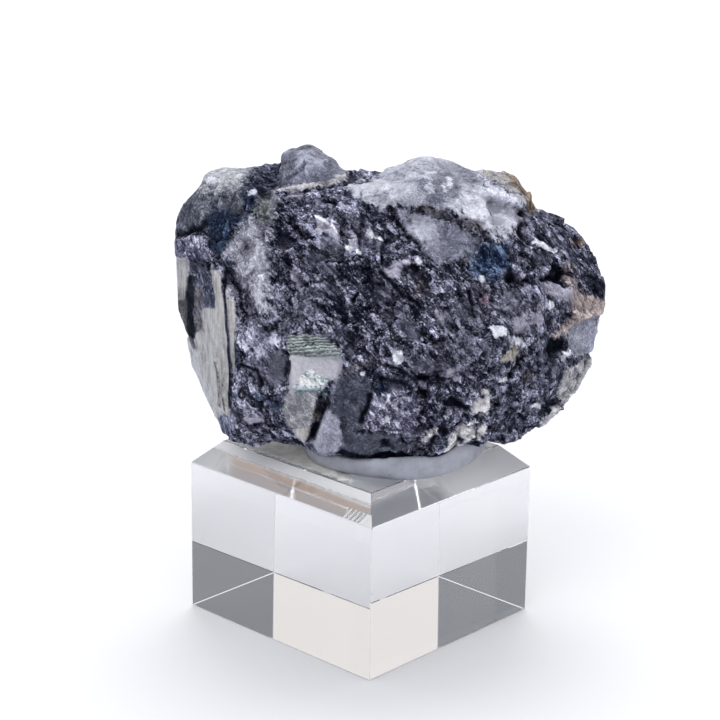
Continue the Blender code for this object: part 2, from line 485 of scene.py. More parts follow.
def area(points, soft=3.0, rough=1.0, show=display):
    """The inside of an outline through the points."""
    x, y = seen_x + rough * push_x, seen_y + rough * push_y
    inside = np.zeros(COUNT, bool)
    ring = points + points[:1]
    for (x0, y0), (x1, y1) in zip(ring, ring[1:]):
        if y0 != y1:
            crosses = (y0 > y) != (y1 > y)
            inside ^= crosses & (x < x0 + (y - y0) / (y1 - y0) * (x1 - x0))
    nearest = near_line(x, y, ring)
    return np.clip(0.5 + np.where(inside, nearest, -nearest) / (2 * soft), 0, 1) * show


def together(*patches):
    """Patches joined: wherever any of them is."""
    return np.maximum.reduce(patches)


TEST_SPOT = 360, 300, 20, 20  # its middle, half width and half height, in pixels
print("a test spot covers", int((spot(*TEST_SPOT) > 0.5).sum()), "points")

# %% [markdown]
# ## Relief
#
# A grain that parts along a flat plane shows as a small facet with its own tilt.
# That is easy to make: cut space into random cells, give each cell a random
# direction, and lift each point by how far along that direction it lies from the
# middle of its cell. Three sizes of cell on top of each other give blocks, flakes
# and chips. The flakes of the long dark slope are drawn out along its grain.

# %% Facets
GRAIN_LEAN = math.radians(-52)  # the dark slope's grain runs steeply down to the right
DRAWN_OUT = 0.5
SWELL_TALL = 0.25  # in millimetres
CELLS_APART = 13.7  # how far a seed moves the cells
CELLS_SPREAD = 61.0  # spreads their middles out, so that each cell draws a direction of its own


def along_grain(places, drawn_out):
    """The places with the direction of the grain shortened, so cells there are long."""
    c, s = math.cos(GRAIN_LEAN), math.sin(GRAIN_LEAN)
    a = places[:, 0] * c + places[:, 2] * s
    u = places[:, 2] * c - places[:, 0] * s
    return np.stack([a * drawn_out, places[:, 1], u], axis=1)


def facets(places, size, tilt, seed):
    """Tilted flats about size millimetres across; tilt is their steepness."""
    lifts = np.empty(len(places))
    shift = Vector((seed, -seed, 2 * seed)) * CELLS_APART
    for i, place in enumerate(places):
        here = Vector(place) / size + shift
        middle = noise.voronoi(here)[1][0]
        direction = noise.cell_vector(middle * CELLS_SPREAD) * 2 - Vector((1, 1, 1))
        lifts[i] = (here - middle).dot(direction)
    return lifts * tilt * size


grain_places = along_grain(form, DRAWN_OUT)
blocks = facets(form, size=4.0, tilt=0.18, seed=1.0)
flakes = facets(grain_places, size=1.6, tilt=0.17, seed=2.0)
chips = facets(grain_places, size=0.8, tilt=0.20, seed=3.0)
swell = SWELL_TALL * noise_at(form, size=6.0, seed=4.0)
print("facets reach, mm:", [round(float(np.abs(f).max()), 2) for f in (blocks, flakes, chips)])

# %% [markdown]
# The larger features come next, each as a named patch, in pixels of the square
# frame: on the left, a flat face parted into upright plates with dark grooves
# between them, a lilac lump over it, a slate shoulder and a pale, fibrous flow.

# %% The left face and its plates
LEFT_FACE = area([(170, 256), (186, 258), (199, 270), (212, 272), (226, 286), (237, 298), (236, 340),
                  (230, 372), (228, 440), (216, 436), (165, 330)], rough=0.3, show=rounded)
MAIN_PLATE = area([(209, 268), (221, 274), (222.5, 292), (222.5, 360), (223, 384), (222, 420), (206, 408),
                   (196, 384), (186, 362), (186, 345), (192, 335), (198, 326), (198, 309), (209, 309),
                   (210, 290)], rough=0.25, show=rounded)
RIGHT_PLATE = area([(226.5, 298), (236.5, 300), (237, 324), (233, 334), (231, 346), (231, 372),
                    (230, 392), (226.5, 388)], rough=0.2)
RIM_PLATE = area([(170, 257), (186, 258), (184, 285), (182, 300), (170, 300)], rough=0.2, show=rounded)
# painted shade: a dark band down the outer rim of the left face
RIM_DARK_SHADE = area([(172, 290), (184, 290), (187, 330), (193, 348), (188, 354), (172, 336)], 4, rough=0.4,
                 show=rounded)
LEFT_GROOVE = stroke([(187, 279), (186.5, 300), (187, 318), (189.5, 336)], 6.5, rough=0.4, show=rounded)
GREY_RIB = stroke([(194.5, 290), (194.5, 312), (196, 330)], 6, rough=0.2)
RIB_GAP = stroke([(224.5, 272), (224.5, 330), (224, 370), (223, 408)], 3.6, rough=0.12)
THIN_RIBS = together(stroke([(209.5, 362), (212.7, 378), (214.6, 391), (214, 408)], 2.6, rough=0.1),
                     stroke([(217.8, 380), (219, 412)], 2.6, rough=0.1))
FACE_GRAINS = together(area([(187, 256), (209, 258), (209.5, 308), (199, 307), (198, 290), (186, 281)],
                            rough=0.6),
                       stroke([(198.5, 331), (199, 344), (197.5, 357)], 4.5, rough=0.5))
PLATE_TOP = together(area([(207, 268), (221, 274), (221, 288), (208, 286)], rough=0.8),
                     area([(226, 283), (238, 284), (238, 301), (226, 300)], rough=0.6))
print("left face points:", int((LEFT_FACE > 0.5).sum()))

# %% The lump and the shoulder over it
LILAC_LUMP = area([(172, 240), (190, 236), (203, 238), (211, 248), (217, 262), (214, 272), (203, 262),
                   (188, 258), (174, 262)])
SLATE_GRAIN = area([(187, 254), (199, 250), (206, 262), (204, 272), (190, 270)])
LUMP_CRACK = stroke([(170, 236), (186, 234), (198, 229), (209, 238), (216, 252), (228, 272), (238, 288)], 5,
                    rough=0.6)
SHOULDER = area([(165, 240), (170, 200), (200, 160), (238, 160), (246, 204), (238, 212), (214, 214),
                 (206, 230), (190, 234)], 5, show=rounded)
# painted light: the shoulder's upward face is painted paler, where the light from above falls on it
SHOULDER_TOP = area([(202, 190), (206, 155), (238, 150), (252, 162), (240, 182), (224, 192), (212, 188)],
                    11, show=rounded)
# painted shade: a dark line under the shoulder's overhang, also cut in as a crease
SHOULDER_FOOT_SHADE = stroke([(170, 232), (186, 231), (200, 226), (206, 222)], 8)
DEEP_BLUE = area([(209, 212), (222, 208), (240, 206), (252, 190), (258, 196), (246, 216), (234, 234),
                  (226, 248), (214, 246), (206, 232)], 6)
NAVY_TAIL = stroke([(214, 244), (224, 258), (234, 276)], 8)
WARM_GRAIN = spot(236, 208, 8, 6, soft=7)
DARK_TOP = area([(240, 192), (246, 176), (262, 158), (284, 158), (280, 186), (268, 198), (252, 198)])
print("shoulder points:", int((SHOULDER > 0.5).sum()))

# %% The pale flow and the lower left
PALE_FLOW = area([(272, 192), (262, 214), (243, 222), (234, 238), (224, 256), (232, 270), (243, 284),
                  (252, 296), (256, 308), (270, 312), (267, 292), (271, 264), (268, 238), (274, 214),
                  (279, 196)], 6)
FLOW_GREEN = area([(258, 196), (272, 196), (272, 222), (262, 228), (256, 212)], 8)
FLOW_EYE = area([(238, 240), (246, 236), (252, 244), (248, 252), (240, 250)], 6)
FLOW_LIGHT = together(stroke([(251, 230), (259, 244), (259, 258), (265, 270), (262, 290)], 6, 5),
                      stroke([(238, 266), (248, 276), (256, 262)], 5, 5), spot(259, 297, 7, 13, -15, 4, 0.5))
FLOW_LINES = together(stroke([(249, 231), (255, 238), (258, 248), (256, 258), (249, 267), (240, 274)],
                             2.8, 2, 0.6),
                      stroke([(258, 238), (264, 252), (268, 266)], 2.6, 2, 0.6),
                      stroke([(250, 284), (257, 273), (263, 262)], 2.6, 2, 0.6),
                      stroke([(236, 252), (243, 262), (252, 268)], 2.4, 2, 0.6),
                      stroke([(245, 222), (255, 218), (263, 208)], 2.4, 2, 0.6))
LOWER_LEFT = area([(238, 330), (262, 322), (288, 334), (286, 430), (232, 440), (230, 380)])
LILAC_GRAIN = area([(240, 334), (262, 324), (286, 334), (285, 352), (262, 356), (240, 350)])
SMOOTH_SLATE = area([(268, 354), (287, 354), (285, 384), (270, 384)])
PALE_RIDGES = together(stroke([(249, 366), (242, 377), (235, 388)], 7, 4), spot(254, 414, 8, 7, 30, 5),
                       stroke([(262, 372), (276, 380), (283, 392)], 6, 5), spot(247, 336, 8, 6, 30, 4),
                       spot(273, 343, 8, 6, 0, 4))
NAVY_DEEPS = together(spot(234, 360, 6, 10, 10, 6), stroke([(254, 398), (268, 402), (281, 408)], 9, 6),
                      stroke([(233, 398), (238, 388)], 8, 5))
print("flow points:", int((PALE_FLOW > 0.5).sum()))

# %% [markdown]
# Below the middle a grain of ore is cleaved clean across and faces the light like
# a window, with steps above it where the next layers broke off. A slit, a bunch of
# milky crystals and dark pillars stand beside it.

# %% The window and the slit
WINDOW = area([(287.5, 355), (300, 354), (320, 353.5), (339, 355), (343, 359), (342, 368), (337, 379),
               (329, 379), (327, 384), (324, 392), (316, 396), (288, 396)], rough=0.2)
SPARKLE = area([(298, 378), (303, 373), (309, 369), (314, 370), (319, 375), (329, 376), (331, 380),
                (322, 385), (313, 387), (300, 386)], rough=0.3)
SPARKLE_FOOT = area([(292, 385), (324, 385), (322, 397), (296, 397)], rough=0.5)
STEPS = area([(288, 336), (306, 334), (326, 338), (336, 345), (343, 355), (288, 355)], rough=0.3)
LOWER_WINDOW = area([(286, 393), (319, 393), (315, 405), (311, 427), (309, 436), (305, 441), (298, 437),
                     (291, 428), (284, 419), (281, 410)], rough=0.3)
PALE_TOE = area([(292, 428), (310.5, 427), (309, 437), (305, 441), (299, 438)], rough=0.3)
SLIT = area([(322, 391), (327, 388), (331.5, 393), (328, 405), (320, 425), (314, 438), (309.5, 437),
             (311, 427), (315, 413), (318, 400)], rough=0.25)
SLIT_GLEAM = stroke([(327, 392), (322.5, 401)], 6.5, 4, rough=0.3)
SLIT_BROWN = stroke([(319, 408), (315.5, 420)], 6, 3, rough=0.3)
WINDOW_GROOVE = stroke([(287, 352), (286.5, 394), (283, 426)], 4, rough=0.2)
print("window points:", int((WINDOW > 0.5).sum()))

# %% Crystals, pillars and foot
CRYSTALS = area([(324, 411), (331, 408), (341, 418), (342, 444), (336, 452), (321, 453), (314, 449),
                 (313, 440), (319, 430)], 4, rough=0.3)
CRYSTAL_RIMS = together(stroke([(326, 414), (322, 426), (318, 440)], 2.2, 1.5, 0.3),
                        stroke([(333, 409), (340, 424), (341, 440)], 2.2, 1.5, 0.3),
                        stroke([(329, 420), (327, 434), (328, 447)], 2.2, 1.5, 0.3))
COLUMNS = together(stroke([(331, 412), (329, 430), (327, 450)], 4, rough=0.1),
                   stroke([(338, 420), (337, 446)], 4, rough=0.1),
                   stroke([(321, 432), (318, 449)], 4, rough=0.1))
PALE_FLANK = stroke([(341, 374), (336, 385), (329, 398)], 7, 5, rough=0.4)
BROWN_RIM = stroke([(344, 371), (356, 367), (369, 364), (382, 363)], 7, 5)
NAVY_GAP = together(stroke([(378, 377), (381, 386), (383, 398)], 8, 5),
                    stroke([(385, 396), (386, 404)], 4))
DARK_OVAL = spot(394, 383, 10, 4.6, 5, 4, rough=0.4)
PILLARS = area([(341, 374), (366, 374), (373, 390), (371, 404), (362, 432), (345, 438), (341, 418),
                (331, 408), (334, 396)], rough=0.4)
PILLAR_LIGHT = together(stroke([(338, 398), (336, 412)], 8), spot(353, 415, 3.4, 3.4),
                        spot(359, 411, 3, 4.4))
DARK_LENS = stroke([(371, 394), (367, 408), (363, 422)], 6, rough=0.8)
SPARKLING = area([(368, 402), (376, 392), (387, 396), (398, 387), (412, 390), (419, 406), (417, 428),
                  (402, 440), (386, 430), (366, 432), (364, 418)], 4)
GREY_FOOT = area([(341, 434), (366, 434), (386, 440), (404, 440), (400, 452), (341, 452)])
# a dark gap under the foot and a painted shadow: a near-black line where the stone shades the tack
FOOT_GAP_AND_SHADOW = together(spot(386, 446, 8, 2.4, rough=1.3),
                    stroke([(340, 453), (358, 457), (384, 458), (402, 456), (412, 459)], 7, rough=0.4,
                           show=rounded))
print("crystal points:", int((CRYSTALS > 0.5).sum()))

# %% [markdown]
# Along the top a smoky peak and a pale quartz boulder stand clear of the ore, with a
# cream vein under the peak and a smooth lump below the boulder.

# %% The peak and the saddle
PEAK = area([(279, 192), (281, 152), (308, 136), (348, 172), (332, 181), (306, 187)], show=everywhere)
PEAK_GRAIN = together(area([(280, 190), (281, 156), (292, 150), (298, 154), (293, 172), (292, 188)]),
                      area([(325, 161), (340, 166), (342, 176), (328, 180)]))
PEAK_CAP = area([(291, 148), (300, 147), (304, 142), (314, 143), (320, 150), (306, 152), (296, 154)],
                rough=0.5)
PEAK_FACE = area([(298, 152), (312, 148), (324, 160), (322, 174), (300, 176)])
VEIN = together(stroke([(279, 191), (293, 188.5), (301, 187)], 2.6, rough=0.25),
                stroke([(300, 187), (313, 185.5), (322, 184)], 5, rough=0.25),
                stroke([(320, 184), (330, 181.5), (337, 178), (347, 176)], 5, rough=0.3))
VEIN_GROOVE = stroke([(280, 195), (300, 192), (325, 189), (347, 181)], 4, rough=0.3)
UNDER_VEIN = area([(293, 190), (316, 188), (314, 198), (310, 205), (300, 202)])
SADDLE = area([(348, 184), (360, 178), (384, 176), (400, 186), (402, 204), (386, 208), (366, 206),
               (352, 196)])
SADDLE_LOOP = stroke([(352, 186), (350, 194), (354, 201), (361, 200), (362, 190)], 3.4, rough=0.3)
SADDLE_RIM = stroke([(343, 170), (353, 175), (363, 170), (378, 169), (393, 167)], 3.4, rough=0.4,
                    show=rounded)
NARROW_CLEFT = stroke([(341, 218), (341, 235)], 4, rough=0.3)
WIDE_CLEFT = stroke([(362, 218), (363, 226), (360, 235)], 5, rough=0.3)
print("peak points:", int((PEAK > 0.5).sum()))

# %% The boulder and the smooth lump
BOULDER = area([(383, 196), (380, 160), (430, 148), (474, 160), (486, 172), (480, 200), (470, 212),
                (440, 208), (400, 204)], show=everywhere)
BOULDER_SHADE = area([(418, 192), (420, 182), (432, 172), (448, 170), (458, 182), (454, 197), (441, 204),
                      (432, 202), (426, 194)], 7, rough=0.6)
SHADE_EDGE = stroke([(458, 180), (458, 190), (454, 197), (441, 204), (432, 202), (426, 193)], 3,
                    rough=0.4)
BOULDER_RIM = area([(444, 156), (470, 160), (476, 176), (470, 190), (458, 180), (454, 166)], 7)
BOULDER_FLECKS = together(spot(430, 177, 5, 3, 20), spot(449, 182, 2.6, 5, -10),
                          spot(445, 189, 2.4, 5, -20), spot(430, 190, 3, 4))
WHITE_BAND = area([(456, 200), (470, 192), (492, 184), (514, 190), (522, 206), (516, 228), (500, 236),
                   (484, 226), (462, 214)], 9)
WHITE_CORE = spot(480, 211, 10, 7, 30, 7)
GREY_OVAL = together(spot(494, 210, 8.5, 5.4, 8, rough=0.3), spot(495, 221, 9, 4.5, 10, rough=0.4))
PALE_FOLD = stroke([(450, 206), (466, 214), (484, 226), (500, 239)], 7, 6)
BROWN_FOLD = together(stroke([(440, 211), (456, 217), (469, 224), (484, 235)], 6, 6),
                      stroke([(418, 208), (436, 211), (446, 216)], 4, 5))
SMOOTH_LUMP = area([(397, 208), (420, 214), (446, 220), (480, 240), (472, 256), (440, 264), (422, 248),
                    (408, 228)], 8)
LUMP_RIDGE = stroke([(396, 207), (410, 229), (417, 241), (427, 252)], 3.4, 3, rough=0.2)
# painted highlight: the lump's lit upper left, paler in colour and tone, while the rest of the lump is
# darkened
LUMP_LIGHT = spot(425, 230, 12, 9, 20, 12)
FOLD = together(stroke([(390, 208), (400, 223), (411, 238), (420, 248), (430, 258)], 3.6, rough=0.5),
                spot(407, 236, 3.4, 6, -30))
KNOB = area([(480, 176), (484, 160), (545, 165), (545, 212), (526, 206), (508, 190)], show=everywhere)
RUSTY_RIM = stroke([(512, 176), (522, 184), (529, 194), (532, 206)], 9, 6, show=everywhere)
print("boulder points:", int((BOULDER > 0.5).sum()))

# %% [markdown]
# The right side is a broken lobe. A blue patch and dark hollows lie on it, and pink
# and cream crusts run along its edge.

# %% The lobe on the right
BLUE_PATCH = area([(474, 262), (478, 248), (492, 243), (508, 244), (510, 262), (500, 276), (482, 278),
                   (472, 270)], 8)
PIT = spot(510.7, 277, 5.4, 4.2, rough=0.3)
DARK_STREAK = together(stroke([(521, 226), (527, 240)], 6),
                       stroke([(524, 252), (531, 260), (536, 268)], 6), spot(521, 213, 6, 4, 40))
LOBE_RIM = stroke([(542, 211), (560, 219), (574, 231), (578, 238)], 8, show=rounded)
TAN_SPOT = spot(580, 241, 5, 4, 50, show=rounded)
WHITE_FLAKE = stroke([(534, 242), (541, 245), (552, 251.5)], 5, 2, rough=0.2)
BLACK_HOLLOW = area([(542, 276), (548, 268), (556, 264), (568, 272), (570, 285), (552, 284)], rough=1.4)
NAVY_EDGE = area([(580, 274), (592, 270), (606, 284), (604, 296), (588, 292)])
LILAC_SHELF = area([(541, 286), (548, 284), (562, 286), (574, 288), (572, 300), (562, 302), (548, 296)],
                   4, rough=0.6)
DARK_CAVE = area([(548, 338), (560, 336), (567, 340), (560, 354), (550, 360), (546, 350)])
PALE_FLAKE = area([(563, 350), (568, 347), (571, 354), (568, 364), (562, 362)], rough=0.4)
DARK_FOOT = area([(492, 400), (530, 396), (536, 440), (488, 440)])
DARK_HOLE = together(area([(441, 403), (452, 396), (460, 400), (467, 409), (452, 409)], rough=0.5),
                     spot(444, 431, 6, 4, rough=0.5))
# dark cracks, and in the second stroke a painted shade line under an overhang
CRACKS_AND_OVERHANG_SHADE = together(stroke([(387, 365), (403, 372), (416, 382), (419, 389), (425, 397)], 4, rough=0.3),
                  stroke([(380, 379), (395, 382), (406, 383)], 3.2, rough=0.2),
                  stroke([(416, 381), (427, 380.5), (442, 383)], 3.2, rough=0.2),
                  stroke([(469, 292), (472, 306), (474, 316)], 3.2, rough=0.3),
                  stroke([(380, 271), (401, 293), (421, 305)], 4, rough=0.4),
                  stroke([(240, 366), (258, 372), (262, 384)], 3.4))
print("blue points:", int((BLUE_PATCH > 0.5).sum()))

# %% Crusts on the right
PINK_FILM = stroke([(567, 272), (572, 282), (576, 292)], 9, 6)
PINK_CRUST = area([(570, 292), (580, 292), (592, 298), (608, 300), (606, 314), (590, 320), (578, 328),
                   (566, 336), (552, 342), (552, 334), (564, 328), (572, 316)], 5)
LILAC_FACET = area([(573, 330), (584, 322), (602, 316), (600, 340), (592, 354), (580, 358), (571, 346)],
                   rough=0.3, show=rounded)
FACET_GLEAM = stroke([(588, 324), (584, 344)], 5, rough=0.2)
CREAM_EDGE = together(area([(570, 366), (586, 362), (600, 350), (592, 380), (576, 402), (564, 408),
                            (556, 400), (560, 384)], 4, show=rounded),
                      area([(541, 420), (552, 408), (562, 404), (556, 418), (544, 428)], show=rounded))
EDGE_GREEN = stroke([(592, 356), (590, 372), (578, 390)], 8, show=rounded)
CREAM_CRUST = together(area([(483, 390), (490, 391), (492, 397), (482, 396)], rough=0.5),
                       area([(478, 398), (491, 398), (489, 410), (486, 417), (470, 410), (471, 402)],
                            rough=0.5),
                       area([(442, 452), (447, 436), (460, 428), (466, 420), (477, 420), (475, 436),
                             (462, 446)], rough=0.6),
                       stroke([(484, 426), (478, 436)], 5, rough=0.4),
                       stroke([(423, 439), (436, 430)], 5, rough=0.4))
CRUST_HOLES = together(spot(460, 427, 4, 2.6), spot(459, 440, 5, 3, -20))
print("crust points:", int((PINK_CRUST > 0.5).sum()))

# %% [markdown]
# Some spots are too small for an outline: the white glints where a flake faces the
# light, and the odd pale grain of another mineral. Each is a small oval, most of
# them stretched along the grain.

# %% Small spots
GLINTS = together(
    stroke([(317, 217), (327, 222), (338, 234)], 3, 2, rough=0.2),
    spot(349, 249, 4.4, 2.4, 35, 2, rough=0.3), spot(359, 253, 3.2, 2, 40, 2, rough=0.2),
    spot(371, 236, 3.2, 2.4, 40, 2), spot(380, 239, 5, 2, 30, 2, rough=0.2),
    area([(488, 326), (497, 325), (504, 328), (503, 336), (494, 336)], rough=0.5),
    area([(546, 300), (554, 301), (554, 309), (549, 308)], rough=0.3), spot(398, 357, 5.6, 6.4, rough=0.4),
    spot(482, 278, 3.4, 2.6, 40, rough=0.2), spot(390, 400, 2.6, 4), spot(388, 420, 3.4, 4.6),
    spot(418, 261, 3, 3),
    spot(212, 181, 7, 2.6, -10, rough=0.2), spot(253, 192, 5, 3, -30, rough=0.3), spot(537, 406, 4, 3.4),
    spot(504, 379, 3.4, 2.6), spot(363, 373, 2.8, 2.8, rough=0.2),
)
PALE_GRAINS = together(
    area([(313, 216), (328, 218), (342, 232), (336, 236), (318, 230)]),
    area([(347, 232), (356, 234), (356, 248), (348, 246)]),
    area([(382, 268), (407, 260), (402, 272), (397, 282), (388, 280)]), spot(441, 317, 3.6, 7, -20),
    spot(521, 325, 8, 9, 10, 6), spot(537, 317, 5, 9, 20, 5), spot(370, 236, 5, 4), spot(296, 194, 6, 5),
    spot(253, 418, 8, 6), spot(298, 280, 3, 12, -15), spot(452, 375, 6, 5), spot(417, 258, 5, 4),
)
PEBBLE = spot(516, 341, 10, 5, 20, rough=0.2)
BEIGE_GRAIN = area([(498, 358), (506, 350), (512, 345), (518, 348), (517, 362), (502, 363)], rough=0.5)
WARM_STAINS = together(spot(286, 247, 5, 8), spot(422, 288, 7, 12, -20), spot(425, 210, 12, 5),
                       spot(472, 226, 8, 4, 30), spot(528, 376, 8, 6), spot(480, 286, 9, 5))
REDDISH = spot(486, 299, 5, 3.4, rough=0.4)
print("glints:", int((GLINTS > 0.5).sum()), "pale grains:", int((PALE_GRAINS > 0.5).sum()))

# %% [markdown]
# Cutting the relief is then one sum: facets everywhere, less of them on the flat
# cleavage faces and on the smooth quartz, plus the height or depth of each patch.

# %% Cutting the relief
BLOCKS_CALMED, FLAKES_CALMED, FLAKES_FLATTENED = 0.7, 0.6, 0.95  # how much of each the patches take away

flat_here = together(LEFT_FACE * 0.9, WINDOW, LOWER_WINDOW * 0.9, LILAC_FACET, CRYSTALS * 0.95,
                     SMOOTH_SLATE * 0.7, LUMP_LIGHT * 0.6, PEBBLE)
calm_here = together(BOULDER, SMOOTH_LUMP, PEAK * 0.7, SHOULDER, SHOULDER_TOP, PILLARS, SADDLE,
                     WHITE_BAND, KNOB * 0.5, LILAC_SHELF, GREY_FOOT, PALE_FLOW)
lift = swell * (1 - flat_here) + blocks * (1 - flat_here) * (1 - BLOCKS_CALMED * calm_here)
lift += (1 - FLAKES_FLATTENED * flat_here) * (1 - FLAKES_CALMED * calm_here) * (flakes + chips)

for height, patch in (
    (0.30, LILAC_LUMP), (0.15, PALE_FLOW), (0.12, FLOW_LIGHT), (-0.20, FLOW_EYE), (0.35, CRYSTALS),
    (0.12, COLUMNS), (0.22, VEIN), (0.25, PALE_FLANK), (0.20, LUMP_LIGHT), (0.20, LUMP_RIDGE),
    (0.18, PALE_FOLD), (0.20, SPARKLING), (0.25, CREAM_CRUST), (0.20, PINK_CRUST), (0.15, WHITE_BAND),
    (0.20, LILAC_SHELF), (0.12, GLINTS), (0.12, PALE_GRAINS), (0.35, PEBBLE), (0.20, BEIGE_GRAIN),
    (0.20, WHITE_FLAKE), (0.15, PALE_FLAKE), (0.15, LILAC_GRAIN), (0.20, PILLAR_LIGHT),
    (0.12, FLOW_LINES), (0.18, PALE_RIDGES), (-0.25, NAVY_DEEPS),
    (-0.90, SLIT), (-0.50, DARK_LENS), (-0.45, LUMP_CRACK), (-0.45, FOLD), (-1.40, PIT), (-0.06, BROWN_FOLD),
    (-0.90, BLACK_HOLLOW), (-0.70, DARK_CAVE), (-0.60, DARK_HOLE), (-0.50, CRACKS_AND_OVERHANG_SHADE), (-0.10, WINDOW),
    (-0.10, LOWER_WINDOW), (-0.45, LEFT_GROOVE), (-0.50, RIB_GAP), (-0.20, THIN_RIBS), (-0.25, NAVY_GAP),
    (-0.25, FACE_GRAINS), (-0.40, DARK_STREAK), (-0.25, DARK_FOOT), (-0.25, SADDLE_LOOP), (-0.40, FOOT_GAP_AND_SHADOW),
    (-0.12, SHADE_EDGE), (-0.25, SHOULDER_FOOT_SHADE), (-0.30, CRUST_HOLES),
    (-0.50, NARROW_CLEFT), (-0.55, WIDE_CLEFT), (-0.40, VEIN_GROOVE), (-0.35, WINDOW_GROOVE),
):
    lift += height * patch

print("relief from", round(float(lift.min()), 2), "to", round(float(lift.max()), 2), "mm")

# %% Mending the outline
RIM = (  # small corrections of the outline: millimetres, then a spot's middle, half width and half height
    (0.45, (308, 143, 8, 8)), (0.35, (330, 160, 11, 8)), (0.40, (283, 152, 5, 9)), (-0.35, (294, 147, 6, 4)),
    (0.60, (476, 171, 13, 7)), (0.35, (384, 169, 12, 6)), (0.30, (211, 172, 15, 8)),
    (-0.45, (216, 424, 9, 15)), (-0.40, (601, 337, 8, 26)), (-0.40, (534, 205, 8, 8)),
    (-0.20, (552, 215, 24, 8)), (0.30, (597, 266, 8, 11)), (0.30, (567, 403, 8, 8)),
    (-0.30, (559, 417, 8, 6)), (0.30, (515, 438, 18, 7)), (-1.00, (286, 454, 26, 13)),
    (-0.85, (476, 454, 17, 10)), (-0.35, (193, 352, 6, 20)), (-0.25, (276, 163, 8, 5)),
    (0.25, (236, 168, 12, 5)), (0.28, (425, 158, 32, 9)), (0.22, (174, 228, 8, 18)),
    (-0.28, (195, 370, 8, 26)), (0.20, (290, 150, 8, 6)), (-0.15, (353, 169, 9, 4)), (0.30, (531, 200, 5, 8)),
    (-0.30, (592, 361, 5, 8)), (-0.25, (562, 409, 5, 5)),
)
for height, (x, y, wide, tall) in RIM:
    lift += height * spot(x, y, wide, tall, 0, 4, show=everywhere)
moved = form + faces_way * lift[:, None]
print("spots on the outline:", len(RIM))


# %% Pressing the cleavage faces flat
WELL_INSIDE = 0.6  # a plane's place comes only from the points with more of the mask than this


def press_flat(places, mask, normal, strength):
    """Draws the masked points most of the way onto one plane through their middle."""
    n = np.array(normal) / np.linalg.norm(normal)
    off = (places - places[mask > WELL_INSIDE].mean(axis=0)) @ n
    return places - (off * mask * strength)[:, None] * n


ribs = together(LEFT_GROOVE, RIB_GAP, THIN_RIBS)
PLANES = (
    (LEFT_FACE * (1 - 0.8 * ribs), (-0.86, 0.49, -0.16), 0.7),
    (WINDOW, (0.06, 0.97, 0.20), 0.9),
    (LOWER_WINDOW, (-0.10, 0.94, -0.30), 0.85),
    (LILAC_FACET, (0.75, 0.65, -0.10), 0.8),
)
for mask, normal, strength in PLANES:
    moved = press_flat(moved, mask, normal, strength)
print("flat faces:", len(PLANES))

# %% [markdown]
# The sizes come from the measured lump, so no point may leave its box. Points near
# a wall of the box are eased inwards instead of being cut off flat.

# %% Kept inside the measured box
EASE = 0.6 * MM  # how far from a wall the easing starts
MARGIN = 0.02 * MM


def kept_inside(places):
    """The places, in metres, eased inwards near the walls of the measured box."""
    low, high = np.array(STONE_LOW) + MARGIN, np.array(STONE_HIGH) - MARGIN
    over = np.maximum(places - (high - EASE), 0)
    under = np.maximum((low + EASE) - places, 0)
    return places - over + EASE * np.tanh(over / EASE) + under - EASE * np.tanh(under / EASE)


skin = kept_inside(in_metres(moved))
stone_mesh.vertices.foreach_set("co", skin.astype(np.float32).ravel())
stone_mesh.update()
print("eased skin, mm:", [round(float(side) / MM, 1) for side in skin.max(axis=0) - skin.min(axis=0)])

# %% [markdown]
# ## Minerals
#
# A specimen like this is several minerals grown into each other. The dark ore is
# fine-grained metal, with a clean cleavage face here and there; the pale boulders
# and the veins are quartz; and a little rust and cream stains the edges. Each has
# a darker and a lighter colour, and says how metallic, how rough and how grainy it
# is. A point only stores which minerals it belongs to: the shader sharpens those
# soft patches grain by grain, so their edges are crisper than the skin itself.

# %% How a mineral is written down
def shown(red, green, blue):
    """A colour as a screen shows it, 0 to 255, turned into the light it stands for."""
    parts = [value / 255 for value in (red, green, blue)]
    return tuple(p / 12.92 if p <= 0.04045 else ((p + 0.055) / 1.055) ** 2.4 for p in parts)


class Mineral:
    """Two colours, a nature (metallic, rough, grainy), and how frayed and how sharp its edge is."""

    def __init__(self, dark, light, nature, frayed=1.0, sharp=4.0):
        self.dark, self.light = shown(*dark), shown(*light)
        self.nature, self.frayed, self.sharp = nature, frayed, sharp


# The hidden side has no display patches, so quartz and cleavage are scattered there.
far_quartz = off_display * smoothly(0.22, 0.40, noise_at(form, size=9.0, seed=8.0))
far_cleavage = off_display * smoothly(0.40, 0.50, noise_at(form, size=5.0, seed=9.0)) * 0.9
far_cream = off_display * smoothly(0.44, 0.56, noise_at(form, size=4.0, seed=10.0)) * 0.7

ORE = Mineral((4, 7, 24), (202, 204, 230), (0.45, 0.38, 1.0))  # the ground that the others lie on
print("quartz points on the hidden side:", int((far_quartz > 0.5).sum()))

